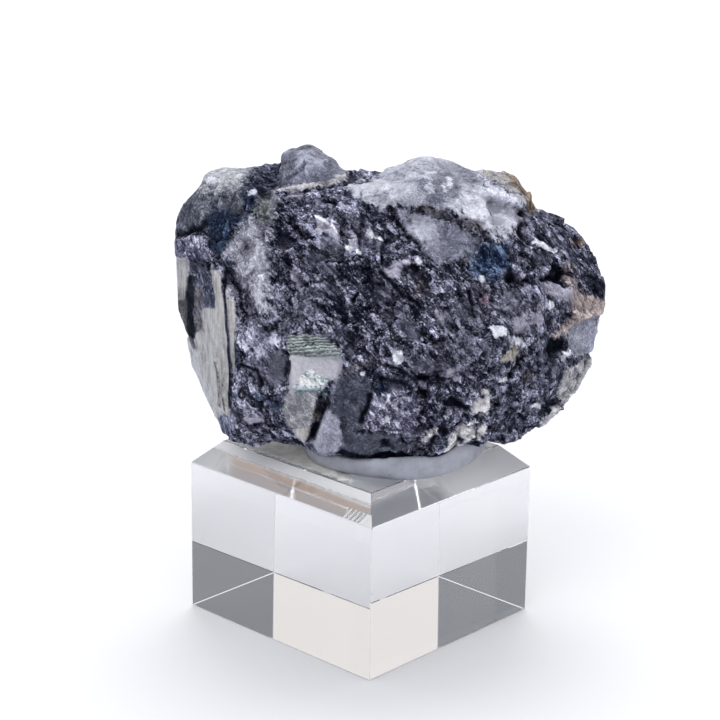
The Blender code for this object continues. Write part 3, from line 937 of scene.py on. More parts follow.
# %% Dark ores and the pale flow
MINERALS = {  # each mineral and where it lies, painted over the ones before it
    "slate_ore": (Mineral((22, 28, 42), (160, 164, 178), (0.30, 0.45, 0.8), 1.0, 2.0),
                  together(SHOULDER, SMOOTH_SLATE * 0.9, SLATE_GRAIN * 0.7, RIM_DARK_SHADE * 0.6)),
    # the shoulder's upward face, painted paler by the light from above
    "shoulder_top_painted_light": (Mineral((112, 117, 124), (226, 228, 232), (0.05, 0.50, 0.4), 0.8, 1.2), SHOULDER_TOP),
    "blue_ore": (Mineral((6, 14, 36), (94, 114, 142), (0.40, 0.42, 1.0), 1.0, 2.0),
                 together(DEEP_BLUE, NAVY_TAIL, NAVY_GAP, NAVY_DEEPS * 0.8)),
    "bright_blue_ore": (Mineral((8, 22, 54), (142, 170, 208), (0.40, 0.42, 1.0), 1.0, 2.0), BLUE_PATCH),
    "lilac_ore": (Mineral((44, 45, 72), (226, 226, 248), (0.45, 0.38, 0.95), 1.0, 2.5),
                  together(LILAC_LUMP * 0.8, SPARKLING * 0.8, LILAC_GRAIN * 0.8, UNDER_VEIN * 0.7,
                           PILLAR_LIGHT * 0.7, PALE_RIDGES * 0.8)),
    "pale_grain": (Mineral((104, 103, 120), (190, 187, 204), (0.10, 0.40, 0.3), 0.8, 2.5),
                   together(PALE_GRAINS, LILAC_SHELF * 0.9)),
    "flow": (Mineral((58, 61, 76), (214, 214, 228), (0.05, 0.40, 0.45), 1.0, 1.8),
             together(PALE_FLOW, PLATE_TOP * 0.8)),
    "flow_light": (Mineral((112, 114, 130), (224, 225, 238), (0.05, 0.40, 0.3), 1.0, 1.6),
                   together(FLOW_LIGHT, FLOW_LINES, CRYSTAL_RIMS * 0.9)),
    "green_flow": (Mineral((40, 47, 50), (170, 176, 172), (0.05, 0.45, 0.7), 1.0, 1.6),
                   together(FLOW_GREEN, EDGE_GREEN * 0.8)),
}
print("minerals so far:", len(MINERALS))

# %% Quartz and pillars
MINERALS |= {
    "quartz": (Mineral((116, 120, 134), (204, 206, 218), (0.0, 0.42, 0.10), 1.0, 2.5),
               together(BOULDER, SHOULDER_TOP * 0.3, PALE_FOLD * 0.9, SADDLE * 0.9, far_quartz)),
    "white_quartz": (Mineral((150, 152, 166), (232, 234, 246), (0.0, 0.42, 0.10), 1.0, 1.8), WHITE_BAND),
    "smoky_quartz": (Mineral((64, 67, 84), (170, 173, 190), (0.05, 0.40, 0.35), 0.8, 1.8),
                     together(PEAK, SMOOTH_LUMP * 0.9, BOULDER_SHADE, BOULDER_RIM * 0.8, PALE_FLANK * 0.7)),
    # the lump's lit upper left is painted paler here: a painted highlight
    "lump_painted_highlight": (Mineral((150, 153, 168), (204, 206, 220), (0.0, 0.42, 0.10), 0.8, 1.2), LUMP_LIGHT),
    "milky_quartz": (Mineral((98, 99, 116), (186, 187, 204), (0.0, 0.40, 0.10), 0.5, 2.5), CRYSTALS),
    "flecks": (Mineral((170, 172, 186), (236, 238, 248), (0.0, 0.40, 0.1), 0.8, 2.0),
               together(WHITE_CORE, BOULDER_FLECKS, PEBBLE * 0.8)),
    "dark_pillar": (Mineral((28, 31, 44), (128, 132, 148), (0.25, 0.35, 0.7), 1.0, 2.0),
                    together(PILLARS, GREY_FOOT, DARK_OVAL)),
    "grey_grain": (Mineral((148, 150, 161), (172, 174, 185), (0.0, 0.40, 0.0), 0.15, 6.0), GREY_OVAL),
}
print("minerals so far:", len(MINERALS))

# %% Cleavage faces
MINERALS |= {
    "cleavage": (Mineral((118, 118, 120), (222, 220, 217), (0.25, 0.32, 0.22), 0.3),
                 together(MAIN_PLATE * (1 - RIM_DARK_SHADE), RIGHT_PLATE, RIM_PLATE, PALE_TOE, far_cleavage)),
    "dull_cleavage": (Mineral((80, 82, 90), (226, 226, 232), (0.20, 0.40, 0.8), 0.6),
                      LOWER_WINDOW * (1 - PALE_TOE)),
    "sparkle_foot": (Mineral((56, 76, 92), (216, 232, 238), (0.10, 0.30, 0.9), 0.6, 3.0),
                     together(SPARKLE_FOOT, SLIT_GLEAM * 0.75)),
    "window": (Mineral((150, 152, 164), (204, 204, 212), (0.15, 0.35, 0.2), 0.5),
               WINDOW * (1 - SPARKLE_FOOT)),
    "facet": (Mineral((82, 84, 102), (214, 216, 232), (0.25, 0.32, 0.2), 0.6), LILAC_FACET),
    "steps": (Mineral((50, 60, 66), (200, 210, 208), (0.3, 0.35, 0.6), 0.8), STEPS),
}
print("minerals so far:", len(MINERALS))

# %% Crusts, stains, cracks, painted shade and painted highlights
MINERALS |= {
    "cream": (Mineral((92, 94, 104), (236, 234, 236), (0.0, 0.55, 0.55), 0.6),
              together(CREAM_EDGE, CREAM_CRUST * (1 - CRUST_HOLES), KNOB * 0.8, far_cream)),
    "beige": (Mineral((116, 112, 110), (204, 198, 188), (0.0, 0.55, 0.4), 0.7),
              together(BEIGE_GRAIN, KNOB * 0.45)),
    "rust": (Mineral((78, 64, 56), (196, 174, 152), (0.0, 0.60, 0.6), 1.0, 1.8),
             together(RUSTY_RIM, TAN_SPOT * 0.8)),
    "brown": (Mineral((26, 22, 26), (136, 126, 122), (0.1, 0.50, 0.9), 1.0, 1.6),
              together(WARM_STAINS * 0.6, WARM_GRAIN * 0.6, SLIT_BROWN)),
    "brown_fold": (Mineral((52, 50, 55), (174, 170, 174), (0.05, 0.50, 0.8), 1.0, 1.4),
                   together(BROWN_FOLD * 0.7, BROWN_RIM * 0.7, GREY_RIB * 0.9, RIM_DARK_SHADE * 0.8)),
    "pink": (Mineral((116, 104, 106), (236, 220, 214), (0.0, 0.50, 0.7), 1.0, 1.8),
             together(PINK_CRUST, PINK_FILM * 0.7)),
    "red": (Mineral((86, 60, 80), (176, 140, 160), (0.1, 0.45, 0.6), 1.0, 1.5), REDDISH * 0.8),
    "vein": (Mineral((142, 140, 146), (236, 233, 236), (0.0, 0.40, 0.4), 0.6), VEIN),
    # dark cracks, grooves and streaks, and painted shade in the slit, pits, hollows, holes and folds, under
    # the shoulder and under the foot
    "black_cracks_and_painted_shade": (Mineral((1, 2, 8), (40, 46, 64), (0.0, 0.90, 1.0), 0.5, 3.0),
              together(SLIT * (1 - SLIT_GLEAM) * (1 - SLIT_BROWN), DARK_LENS * 0.9, PIT, BLACK_HOLLOW,
                       NAVY_EDGE * 0.6, LUMP_CRACK * (0.75 - 0.5 * NAVY_TAIL), LEFT_GROOVE,
                       RIB_GAP * 0.85, THIN_RIBS * 0.8, DARK_STREAK * 0.75, DARK_CAVE * 0.85,
                       DARK_HOLE * 0.9, LOBE_RIM * 0.4, CRACKS_AND_OVERHANG_SHADE, FOLD * 0.65, FOOT_GAP_AND_SHADOW,
                       SHOULDER_FOOT_SHADE * 0.7, SADDLE_RIM * 0.45, SADDLE_LOOP * 0.6, FLOW_EYE * 0.55,
                       SHADE_EDGE * 0.5, PEAK_CAP * 0.5, CRUST_HOLES * 0.8)),
    # painted highlights and a painted reflection: white put into the colour where flakes, and the sparkle of
    # the window, catch the light
    "glint": (Mineral((180, 187, 206), (255, 255, 255), (0.0, 0.25, 0.45), 0.5, 5.0),
              together(GLINTS, WHITE_FLAKE, FACET_GLEAM * 0.5, PALE_FLAKE * 0.7)),
    "mirror": (Mineral((92, 132, 146), (255, 255, 255), (0.0, 0.20, 1.0), 0.4), SPARKLE),
}


def keep(mesh, name, values):
    """Stores one number per point under a name that a shader can read."""
    mesh.attributes.new(name, "FLOAT", "POINT").data.foreach_set("value", values.astype(np.float32))


for name, (mineral, patch) in MINERALS.items():
    keep(stone_mesh, name, patch)
print("minerals:", len(MINERALS) + 1)

# %% [markdown]
# Painted shade and highlight: the colour is darkened in the cracks of the rough stone, where shade falls, and
# lightened on its raised edges. Comparing each point with the average of its neighbours, over and over, gives
# that: a point that ends up below its surroundings sits in a hollow.

# %% Hollows
HOLLOW_PASSES = 14


def smooth_shape(shape, passes):
    """Draws every point of a shape towards its neighbours, over and over."""
    for _ in range(passes):
        bmesh.ops.smooth_vert(shape, verts=shape.verts, factor=0.5,
                              use_axis_x=True, use_axis_y=True, use_axis_z=True)


def hollows(mesh, passes):
    """How far each point lies below the smoothed skin, in millimetres."""
    shape = bmesh.new()
    shape.from_mesh(mesh)
    smooth_shape(shape, passes)
    smoothed = np.array([v.co[:] for v in shape.verts])
    shape.free()
    return ((smoothed - rows(mesh.vertices, "co")) * rows(mesh.vertex_normals, "vector")).sum(1) / MM


depth = hollows(stone_mesh, HOLLOW_PASSES)
depth *= 1 - together(WINDOW, LOWER_WINDOW, GREY_OVAL, CRYSTALS * 0.6, MAIN_PLATE * 0.7,
                      RIGHT_PLATE * 0.7, SLIT * 0.7, LILAC_FACET * 0.7)  # nothing shades the flat faces
keep(stone_mesh, "hollow", depth)
print("hollows, mm:", round(float(depth.min()), 2), "to", round(float(depth.max()), 2))

# %% [markdown]
# The last things a point stores are a tone, for broad lighter and darker zones that cut across the minerals,
# partly painted light and shade and partly the stone's own tone, a calm, for places where the grain is too
# fine to see, and how many of the cleavage steps lie above it.

# %% Broad lighter and darker zones, partly painted light and shade
SLOPE_SHADE = area([(300, 262), (340, 256), (372, 268), (420, 330), (400, 350), (350, 330)], 12)
DARK_NOOK = area([(326, 256), (352, 262), (360, 276), (340, 278), (322, 268)], 6)
DARK_BLOCK = area([(330, 290), (345, 296), (344, 314), (330, 308)], 5)
SHADY_CORNER = area([(270, 218), (292, 222), (294, 250), (286, 258), (272, 244)], 6)
DARK_CHIP = area([(406, 308), (428, 308), (428, 322), (410, 322)], 5)
BELOW_VEIN = area([(318, 190), (350, 186), (354, 210), (318, 208)], 6)
GLINTING_BELT = area([(300, 215), (330, 213), (352, 238), (384, 232), (376, 252), (340, 254), (318, 240)], 6)
PALE_LEFT = area([(256, 286), (304, 286), (304, 334), (256, 334)], 8)
PALE_STREAK = area([(306, 272), (330, 272), (352, 292), (346, 300), (326, 288), (306, 284)], 5)
PALE_MIDDLE = area([(378, 300), (400, 308), (410, 340), (392, 366), (376, 340)], 8)
PALE_CORNER = area([(490, 380), (540, 372), (540, 440), (470, 440)], 8)
SHADY_LEFT = area([(270, 200), (300, 200), (300, 262), (274, 262)], 8)
PALE_RIGHT = area([(500, 300), (545, 296), (548, 334), (500, 338)], 8)
SHADY_FOOT = area([(404, 384), (440, 386), (440, 440), (420, 440)], 6)

# painted light and shade: the shady zones are darkened where shade falls, and the glinting belt and the
# lump's ridge and lit side are lightened where light catches; the other entries are lighter and darker zones
# of the stone and its minerals
tone_and_painted_light = np.zeros(COUNT)
for shift, patch in (
    (0.03, LOWER_LEFT * (1 - LILAC_GRAIN)), (-0.08, BOULDER_SHADE), (0.10, LUMP_LIGHT),
    (0.15, PALE_FOLD), (0.13, SPARKLE), (-0.25, DARK_OVAL), (0.10, SPARKLE_FOOT), (0.08, PALE_RIDGES),
    (-0.12, FACE_GRAINS), (0.22, LILAC_GRAIN), (0.02, LILAC_LUMP), (0.18, PEAK_FACE),
    (-0.12, PEAK_GRAIN), (0.10, FLOW_LIGHT), (-0.20, DARK_TOP), (-0.15, SLATE_GRAIN), (0.12, GREY_FOOT),
    (0.10, SPARKLING), (-0.10, SMOOTH_LUMP * (1 - LUMP_LIGHT)), (0.15, LUMP_RIDGE), (-0.12, SLOPE_SHADE),
    (-0.12, DARK_NOOK), (-0.15, DARK_BLOCK), (-0.22, SHADY_CORNER), (-0.25, DARK_CHIP), (0.12, SADDLE),
    (0.12, BELOW_VEIN), (0.16, GLINTING_BELT), (0.04, PALE_LEFT), (0.14, PALE_STREAK),
    (0.12, PALE_MIDDLE), (0.05, PALE_CORNER), (-0.10, SHADY_LEFT), (0.10, PALE_RIGHT),
    (-0.30, RIM_DARK_SHADE), (0.08, SMOOTH_LUMP), (-0.05, BOULDER), (0.10, LOWER_WINDOW), (-0.08, DARK_FOOT),
    (0.27, CREAM_CRUST), (-0.04, PALE_FLOW), (0.25, WINDOW), (0.06, PINK_CRUST), (0.06, CREAM_EDGE),
    (-0.12, RIM_PLATE), (0.05, CRYSTALS), (-0.15, SHADY_FOOT),
):
    tone_and_painted_light += shift * patch
keep(stone_mesh, "tone", tone_and_painted_light)
print("tone from", round(float(tone_and_painted_light.min()), 2), "to", round(float(tone_and_painted_light.max()), 2))

# %% Calm places and steps
STEP_TALL = 3.1  # pixels from one step to the next
STEPS_LEAN = 0.05  # they climb this much to the right
STEPS_FROM = 310  # the pixel column where the climb is counted from
STEPS_WAVER = 0.15  # how much of the push on the brushes they share
DULL_GRAINS = together(spot(318, 262, 16, 12, 30, 6), spot(333, 247, 12, 8, 40, 5),
                       spot(470, 314, 18, 9, 0, 8), spot(430, 366, 24, 10, 10, 6))
SMOOTH_CHIPS = together(spot(396, 270, 12, 7, -20, 3), spot(411, 336, 7, 6, 0, 3),
                        spot(393, 388, 9, 4, 0, 3))
FINE_GRAIN, FINER_GRAIN = spot(465, 345, 18, 20, 0, 8), spot(308, 304, 14, 12, 40, 6)

calm = together(
    SMOOTH_LUMP * 0.4, PILLARS * 0.3, LILAC_SHELF * 0.6, GREY_OVAL, GREY_FOOT * 0.7, DARK_OVAL * 0.6,
    SMOOTH_SLATE, DULL_GRAINS * 0.8, SMOOTH_CHIPS, FINE_GRAIN * 0.5, FINER_GRAIN * 0.6, LOWER_WINDOW * 0.5,
)
keep(stone_mesh, "calm", calm)
keep(stone_mesh, "step_count",
     (seen_y + STEPS_LEAN * (seen_x - STEPS_FROM) + STEPS_WAVER * push_y) / STEP_TALL)
print("calm points:", int((calm > 0.5).sum()))

# %% [markdown]
# ## The ore shader
#
# The grain of the ore is finer than the skin, so it is left to the shader: three
# sizes of random cells, each with its own tone and its own tilt. The tilt is made
# the same way as the facets of the mesh, but as a bump. Thin pale lines along the
# edges of some cells stand for the cleaved rims that catch the light, and a curly
# noise gives the quartz its fibres.

# %% Helpers for patterns
def attribute(tree, name):
    """The value a mesh stores under this name."""
    return node(tree, "ShaderNodeAttribute", attribute_name=name).outputs["Fac"]


def turned(tree, vector, rotation, scale):
    """Places for a pattern that is turned and stretched like this."""
    made = node(tree, "ShaderNodeMapping", vector_type="TEXTURE")
    dress(tree, made, {"Vector": vector, "Rotation": rotation, "Scale": scale})
    return made.outputs[0]


def in_mm(tree, rotation=(0, 0, 0)):
    """The places on a piece, in millimetres, turned like this."""
    return turned(tree, node(tree, "ShaderNodeTexCoord").outputs["Object"], rotation, (MM, MM, MM))


def noisy(tree, vector, scale, detail=4.0, roughness=0.6, distortion=0.0):
    """A noise between 0 and 1, about 0.5 on average; scale is in waves per millimetre."""
    made = node(tree, "ShaderNodeTexNoise")
    dress(tree, made, {"Vector": vector, "Scale": scale, "Detail": detail, "Roughness": roughness,
                       "Distortion": distortion})
    return made.outputs["Fac"]


def weighed(tree, *pairs):
    """The sum of (weight, value) pairs."""
    total = 0.0
    for weight, value in pairs:
        total = plus(tree, times(tree, value, weight), total)
    return total


print("patterns are laid out in units of", MM, "m")


# %% Grains, lines and bumps
def grains(tree, vector, per_mm):
    """Random cells: their tone from 0 to 1 and the height of their tilted flats."""
    cells = node(tree, "ShaderNodeTexVoronoi")
    dress(tree, cells, {"Vector": vector, "Scale": per_mm})
    tilt = vector_maths(tree, "SUBTRACT", cells.outputs["Color"], (0.5, 0.5, 0.5))
    offset = vector_maths(tree, "SUBTRACT", vector, cells.outputs["Position"])
    return parts(tree, cells.outputs["Color"])[0], vector_maths(tree, "DOT_PRODUCT", offset, tilt)


def thin_lines(tree, value, width):
    """1 where the value crosses a half, fading to 0 at width away from it."""
    away = maths(tree, "ABSOLUTE", minus(tree, value, 0.5))
    return maths(tree, "SUBTRACT", 1.0, maths(tree, "DIVIDE", away, width), clamp=True)


def bump(tree, height, strength, distance):
    """The normal of a bumpy surface; a height of 1 stands out by the distance."""
    made = node(tree, "ShaderNodeBump")
    dress(tree, made, {"Strength": strength, "Distance": distance, "Height": height})
    return made.outputs["Normal"]


print("texture helpers:", [helper.__name__ for helper in (noisy, grains, thin_lines, bump)])

# %% Patterns of the ore
GRAIN_STRETCH = 2.0
ore, tree, shader = new_finish("native antimony ore", {
    "Specular IOR Level": 0.15, "Specular Tint": (0.55, 0.65, 1.0)})  # dull stone: its darks stay dark
millimetres = in_mm(tree, (-DISPLAY_LEAN, 0, 0))
along = turned(tree, millimetres, (0, -GRAIN_LEAN, 0), (GRAIN_STRETCH, 1, 1))

coarse_tone, coarse_tilt = grains(tree, along, per_mm=1.6)
fine_tone, fine_tilt = grains(tree, along, per_mm=4.0)
tiny_tone, tiny_tilt = grains(tree, millimetres, per_mm=6.5)
clouds = noisy(tree, millimetres, 0.6, 6.0, 0.62)
patchy = noisy(tree, along, 0.8, 7.0, 0.72)
broad = noisy(tree, millimetres, 0.22, 2.0)
fray = noisy(tree, millimetres, 1.8)
fibres = thin_lines(tree, noisy(tree, millimetres, 0.55, distortion=1.6), width=0.05)
# painted highlights: thin pale lines for cleaved rims that catch the light
rims = thin_lines(tree, noisy(tree, along, 1.5, 3.0, distortion=0.8), width=0.035)
cracks = thin_lines(tree, noisy(tree, millimetres, 0.42, 3.0, 0.55, distortion=1.0), width=0.022)
cracks = times(tree, cracks, ramp(tree, noisy(tree, millimetres, 0.5, 2.0), (0.45, 0), (0.58, 1)))
# random tone of the tiny grains, with painted glints on the brightest of them
sparks = ramp(tree, tiny_tone, (0.10, -0.3), (0.25, 0), (0.78, 0), (0.92, 1))
print("pattern nodes:", len(tree.nodes))

# %% Tones of the grain
FLAKY_CENTRE, CLOUDY_CENTRE = 0.72, 0.10  # taken off the sums, to bring them to about a half

# the tone attribute, here and in the cloudy sum below, carries painted light and shade as well as the stone's
# own tone
flaky = weighed(tree, (0.48, coarse_tone), (0.40, fine_tone), (1.4, patchy), (0.18, rims), (0.28, sparks),
                (-0.35, cracks), (1.0, attribute(tree, "tone")))
flaky = minus(tree, flaky, FLAKY_CENTRE)
lulls = ramp(tree, broad, (0.50, 0), (0.66, 0.55))  # stretches where the grain is too fine to see
stillness = maths(tree, "MAXIMUM", times(tree, attribute(tree, "calm"), 0.8), lulls)
lively = minus(tree, 1.0, stillness)
flaky = plus(tree, times(tree, minus(tree, flaky, 0.5), lively), 0.5)
flake_tone = ramp(tree, flaky, (0.16, 0), (0.36, 0.04), (0.54, 0.17), (0.74, 0.46), (0.96, 1))
cloudy = weighed(tree, (0.8, clouds), (0.16, fibres), (0.20, tiny_tone), (0.12, fine_tone), (0.10, sparks),
                 (0.8, attribute(tree, "tone")))
cloud_tone = ramp(tree, minus(tree, cloudy, CLOUDY_CENTRE), (0.24, 0), (0.76, 1))
print("tone nodes:", len(tree.nodes))

# %% Minerals in the shader
LEAK_STOP = 12.0  # nothing leaks to where a patch isn't: the fraying fades out this fast

dark, light, nature = ORE.dark, ORE.light, ORE.nature
fray_push = weighed(tree, (1.3, minus(tree, fray, 0.5)), (0.30, minus(tree, fine_tone, 0.5)),
                    (0.25, minus(tree, coarse_tone, 0.5)))
shares = {}
for name, (mineral, _) in MINERALS.items():
    mask = attribute(tree, name)
    nearby = times(tree, mask, LEAK_STOP, clamp=True)
    edge = minus(tree, weighed(tree, (1.0, mask), (mineral.frayed, times(tree, fray_push, nearby))), 0.5)
    shares[name] = plus(tree, times(tree, edge, mineral.sharp), 0.5, clamp=True)
    dark = mix(tree, shares[name], dark, mineral.dark)
    light = mix(tree, shares[name], light, mineral.light)
    nature = mix(tree, shares[name], nature, mineral.nature)
natures = node(tree, "ShaderNodeSeparateColor")
feed(tree, natures.inputs[0], nature)
metallic, rough, grainy = natures.outputs[:3]
print("ore shader nodes:", len(tree.nodes))

# %% Colour, gloss and bump
STEPS_SHARE, COMBED_SHARE = 0.6, 0.55  # how much of the tone the steps and the combing take over
HOLLOW_GAIN = 1.8
ORE_BUMP, ORE_BUMP_DEEP = 0.9, 1.0 * MM

# painted light and shade: the steps have no relief, so each tread is drawn as a lighter and a darker stripe
tread = maths(tree, "FRACT",
              weighed(tree, (1.0, attribute(tree, "step_count")), (1.5, fray), (0.35, fine_tone)))
painted_step_shading = ramp(tree, tread, (0.0, 0.9), (0.30, 0.75), (0.42, 0.1), (0.85, 0.0), (1.0, 0.9))
grain_tone = mix(tree, grainy, cloud_tone, flake_tone)
grain_tone = mix(tree, times(tree, shares["steps"], STEPS_SHARE), grain_tone, painted_step_shading)
combed = noisy(tree, turned(tree, millimetres, (0, 0, 0), (0.30, 1, 4)), 1.0)  # the plates are combed upright
combed = ramp(tree, combed, (0.34, 0), (0.50, 0.62), (0.66, 1))
grain_tone = mix(tree, times(tree, shares["cleavage"], COMBED_SHARE), grain_tone, combed)
hollow = plus(tree, times(tree, attribute(tree, "hollow"), HOLLOW_GAIN), 0.5)
# painted shade in the hollows and painted highlight on the raised edges, multiplied into the colour
shade = ramp(tree, hollow, (0.0, 1.5), (0.45, 1), (0.8, (0.33, 0.33, 0.37)), (1.0, (0.10, 0.10, 0.14)))
tilts = times(tree, weighed(tree, (0.60, coarse_tilt), (0.60, fine_tilt), (0.3, tiny_tilt)),
              times(tree, plus(tree, grainy, 0.10), lively))
relief = weighed(tree, (1.0, tilts), (0.10, clouds), (0.02, fibres))
dress(tree, shader, {
    "Base Color": mix(tree, 1.0, mix(tree, grain_tone, dark, light), shade, "MULTIPLY"),
    "Metallic": metallic,
    "Roughness": rough,
    "Normal": bump(tree, relief, ORE_BUMP, ORE_BUMP_DEEP),
})

stone_mesh.materials.clear()
stone_mesh.materials.append(ore)
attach(stone, "root")
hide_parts("antimony_stone")
print("ore shader nodes with its colours:", len(tree.nodes))

# %% [markdown]
# ## The clear block
#
# The block's shape is already right, so it only needs its finish. The bevels were
# cut with a saw and buffed only lightly, so they are a little hazier than the rest,
# which softens what they mirror. A bevel is known by its slope: its normal is
# halfway between upright and level. Buffing also leaves them faintly wavy.

# %% Where the bevels are
BLOCK_TURN = math.radians(46.9)
HALFWAY, OFF_SLOPE = 0.707, 0.1  # the upright part of a bevel's normal, give or take
SIDE_ON = 0.5  # how far a normal has to point to a side to belong to that side's bevel

acrylic, resin, clear = new_finish("clear acrylic", {
    "Base Color": (0.855, 0.86, 0.88), "IOR": 1.49, "Transmission Weight": 1.0})
block_normal = node(resin, "ShaderNodeTexCoord").outputs["Normal"]
upright = maths(resin, "ABSOLUTE", parts(resin, block_normal)[2])
slope = maths(resin, "ABSOLUTE", minus(resin, upright, HALFWAY))
bevel = maths(resin, "LESS_THAN", slope, OFF_SLOPE)
side_x, side_y, _ = parts(resin, turned(resin, block_normal, (0, 0, BLOCK_TURN), (1, 1, 1)))
left_bevel = times(resin, bevel, maths(resin, "LESS_THAN", side_x, -SIDE_ON))
right_bevel = times(resin, bevel, maths(resin, "LESS_THAN", side_y, -SIDE_ON))

block_mm = in_mm(resin, (0, 0, BLOCK_TURN))
along_right, along_left, up = parts(resin, block_mm)  # along the right bevel, along the left one, and up
streaks = noisy(resin, turned(resin, block_mm, (0, 0, 0), (6, 0.7, 2)), 1.0)
print("bevel nodes:", len(resin.nodes))

# %% [markdown]
# Two things are left of the rubbing down. The top of the left bevel and the outer
# ends of both are still matt, and matt acrylic scatters light instead of letting it
# through, so it looks pale. The front corner keeps a row of slanted saw marks, which
# run into each other at its tip. Both are laid out in millimetres along the bevels.

# %% Rubbed bevels
LEFT_ABOVE, LEFT_RISES = 22.9, 1.6  # rubbed above this height, and how fast that sets in, a millimetre
RIGHT_PAST, RIGHT_RISES = -2.5, 0.4
END_PAST, END_RISES = 9.0, 0.25
RIGHT_SHARE, RIGHT_ALL_OVER, END_SHARE = 0.5, 0.16, 0.45  # how strongly each part is rubbed
EDGE_WAVER = 0.5


def past(place, limit, rise):
    """0 up to the limit, then rising to 1."""
    return times(resin, minus(resin, place, limit), rise, clamp=True)


uneven = times(resin, minus(resin, streaks, 0.5), EDGE_WAVER)
rubbed_left = times(resin, past(plus(resin, up, uneven), LEFT_ABOVE, LEFT_RISES), left_bevel)
rubbed_right = times(resin, past(along_right, RIGHT_PAST, RIGHT_RISES), right_bevel)
rubbed_right = plus(resin, times(resin, rubbed_right, RIGHT_SHARE), times(resin, right_bevel, RIGHT_ALL_OVER))
rubbed_end = times(resin, past(along_left, END_PAST, END_RISES), times(resin, left_bevel, END_SHARE))
rubbed = maths(resin, "MAXIMUM", maths(resin, "MAXIMUM", rubbed_left, rubbed_end), rubbed_right)
print("nodes with the rubbing:", len(resin.nodes))

# %% Saw marks
MARKS_END, MARKS_TOP = -11.7, 22.3  # they lie nearer the corner and lower than this
MARKS_APART, MARKS_LEAN, MARKS_DEEP = 0.72, 0.5, 1.8
MARK_CREST = 0.45  # the part of each wave above this is frosted
GROUND_CORNER = -3.9  # past this the marks run together

marked = times(resin, maths(resin, "LESS_THAN", along_left, MARKS_END),
               maths(resin, "LESS_THAN", up, MARKS_TOP))
marked = times(resin, marked, left_bevel)
leaning = plus(resin, along_left, times(resin, up, MARKS_LEAN))
waves = maths(resin, "SINE", times(resin, leaning, math.tau / MARKS_APART))
scratches = maths(resin, "MAXIMUM", maths(resin, "GREATER_THAN", waves, MARK_CREST),
                  maths(resin, "LESS_THAN", leaning, GROUND_CORNER))
scratches = times(resin, scratches, marked)
cuts = times(resin, times(resin, waves, MARKS_DEEP), marked)
print("nodes with the saw marks:", len(resin.nodes))

# %% Clear acrylic
HAZE = 0.10  # the roughness of the haziest spots on the bevels; the faces are polished right through
RUBBED = 0.42  # the roughness where a bevel was rubbed matt
FROSTED = 0.75  # how much of the light the rubbed acrylic scatters instead of letting through
BUFFED_DEEP = 0.012 * MM

hazy = times(resin, times(resin, bevel, ramp(resin, streaks, (0.35, 0.35), (0.65, 1))), HAZE)
frosted = times(resin, maths(resin, "MAXIMUM", rubbed, scratches), FROSTED)
dress(resin, clear, {
    "Roughness": maths(resin, "MAXIMUM", hazy, times(resin, rubbed, RUBBED)),
    "Transmission Weight": minus(resin, 1.0, frosted),
    "Normal": bump(resin, plus(resin, cuts, streaks), bevel, BUFFED_DEEP),
})
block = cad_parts["acrylic_block"]
block.data.materials.clear()
block.data.materials.append(acrylic)
print("acrylic nodes:", len(resin.nodes))

# %% [markdown]
# A ray that enters the block is mirrored inside it again and again before it comes
# out. Blender stops following a ray after a few bounces, which would leave the
# panes black, so the limits are raised.

# %% Light paths
paths = bpy.context.scene.cycles
paths.max_bounces = 32
paths.transmission_bounces = 32
paths.glossy_bounces = 16
paths.diffuse_bounces = 4
print("bounces:", paths.max_bounces)

# %% [markdown]
# ## The tack
#
# The measured pad stops just short of its neighbours, so the visible one is pressed
# down into the block by a hair. Then it gets a skin of small, even faces as the stone
# did, and dents, because fingers shaped it.

# %% The tack's shape
PAD_GRID = 0.4 * MM
PAD_SMOOTHINGS = 3
SINK = 0.35 * MM
SUNK_BELOW, STILL_BELOW, RISES_ABOVE = 0.6 * MM, 0.3 * MM, 1.0 * MM  # heights above the block
RIGHT_RISE = 1.3 * MM  # the right end rises higher round the rock's foot
RISE_FROM, RISE_TO = 9.0, 15.0  # millimetres to the right
DENTS = ((0.10, 2.5, 0), (0.04, 0.9, 9))  # how deep and how wide, in millimetres, and a shift of the noise

pad = merged_copy("mineral_tack", "tack_pad")
for v in pad.data.vertices:
    if v.co.z < BLOCK_TOP + SUNK_BELOW:
        v.co.z -= SINK
even_skin(pad, PAD_GRID)

shape = bmesh.new()
shape.from_mesh(pad.data)
smooth_shape(shape, PAD_SMOOTHINGS)
shape.normal_update()
for v in shape.verts:
    here = v.co / MM
    dent = sum(deep * noise.noise(here / wide + Vector((shift, 0, 0))) for deep, wide, shift in DENTS)
    v.co += v.normal * dent * MM * (1 if v.co.z > BLOCK_TOP + STILL_BELOW else 0)
    if v.co.z > BLOCK_TOP + RISES_ABOVE:
        v.co.z += RIGHT_RISE * float(smoothly(RISE_FROM, RISE_TO, here.x))
print("pad faces:", len(shape.faces))

# %% [markdown]
# Some of the tack was wiped thinly over the block's top as well. That smear is a
# ragged sheet a tenth of a millimetre thick: an outline pushed about by noise,
# filled, and raised with the extrude operator. The one for discrete faces adds the
# sides in the same order each time, but takes the underside away, so that is
# filled in again.

# %% The wiped smear's shape
SMEAR_THICK = 0.12 * MM
SMEAR_SINK = 0.02 * MM  # it starts this far down in the block, so no gap shows under it
SMEAR = (  # its corners on the block's top, in millimetres
    (-17.6, 0.3), (-14.9, -2.9), (-12.3, -5.0), (-8.6, -8.5), (-5.6, -11.6), (-2.2, -14.5),
    (-0.8, -14.6), (-2.4, -11.0), (-5.0, -7.0), (-6.0, 0.0), (-9.0, 6.0), (-12.6, 4.6),
)
POINTS_A_SIDE = 12
RAGGED, RAGGED_PER_MM = 0.5, 1.3  # how far the noise pushes the outline, in millimetres, and how finely

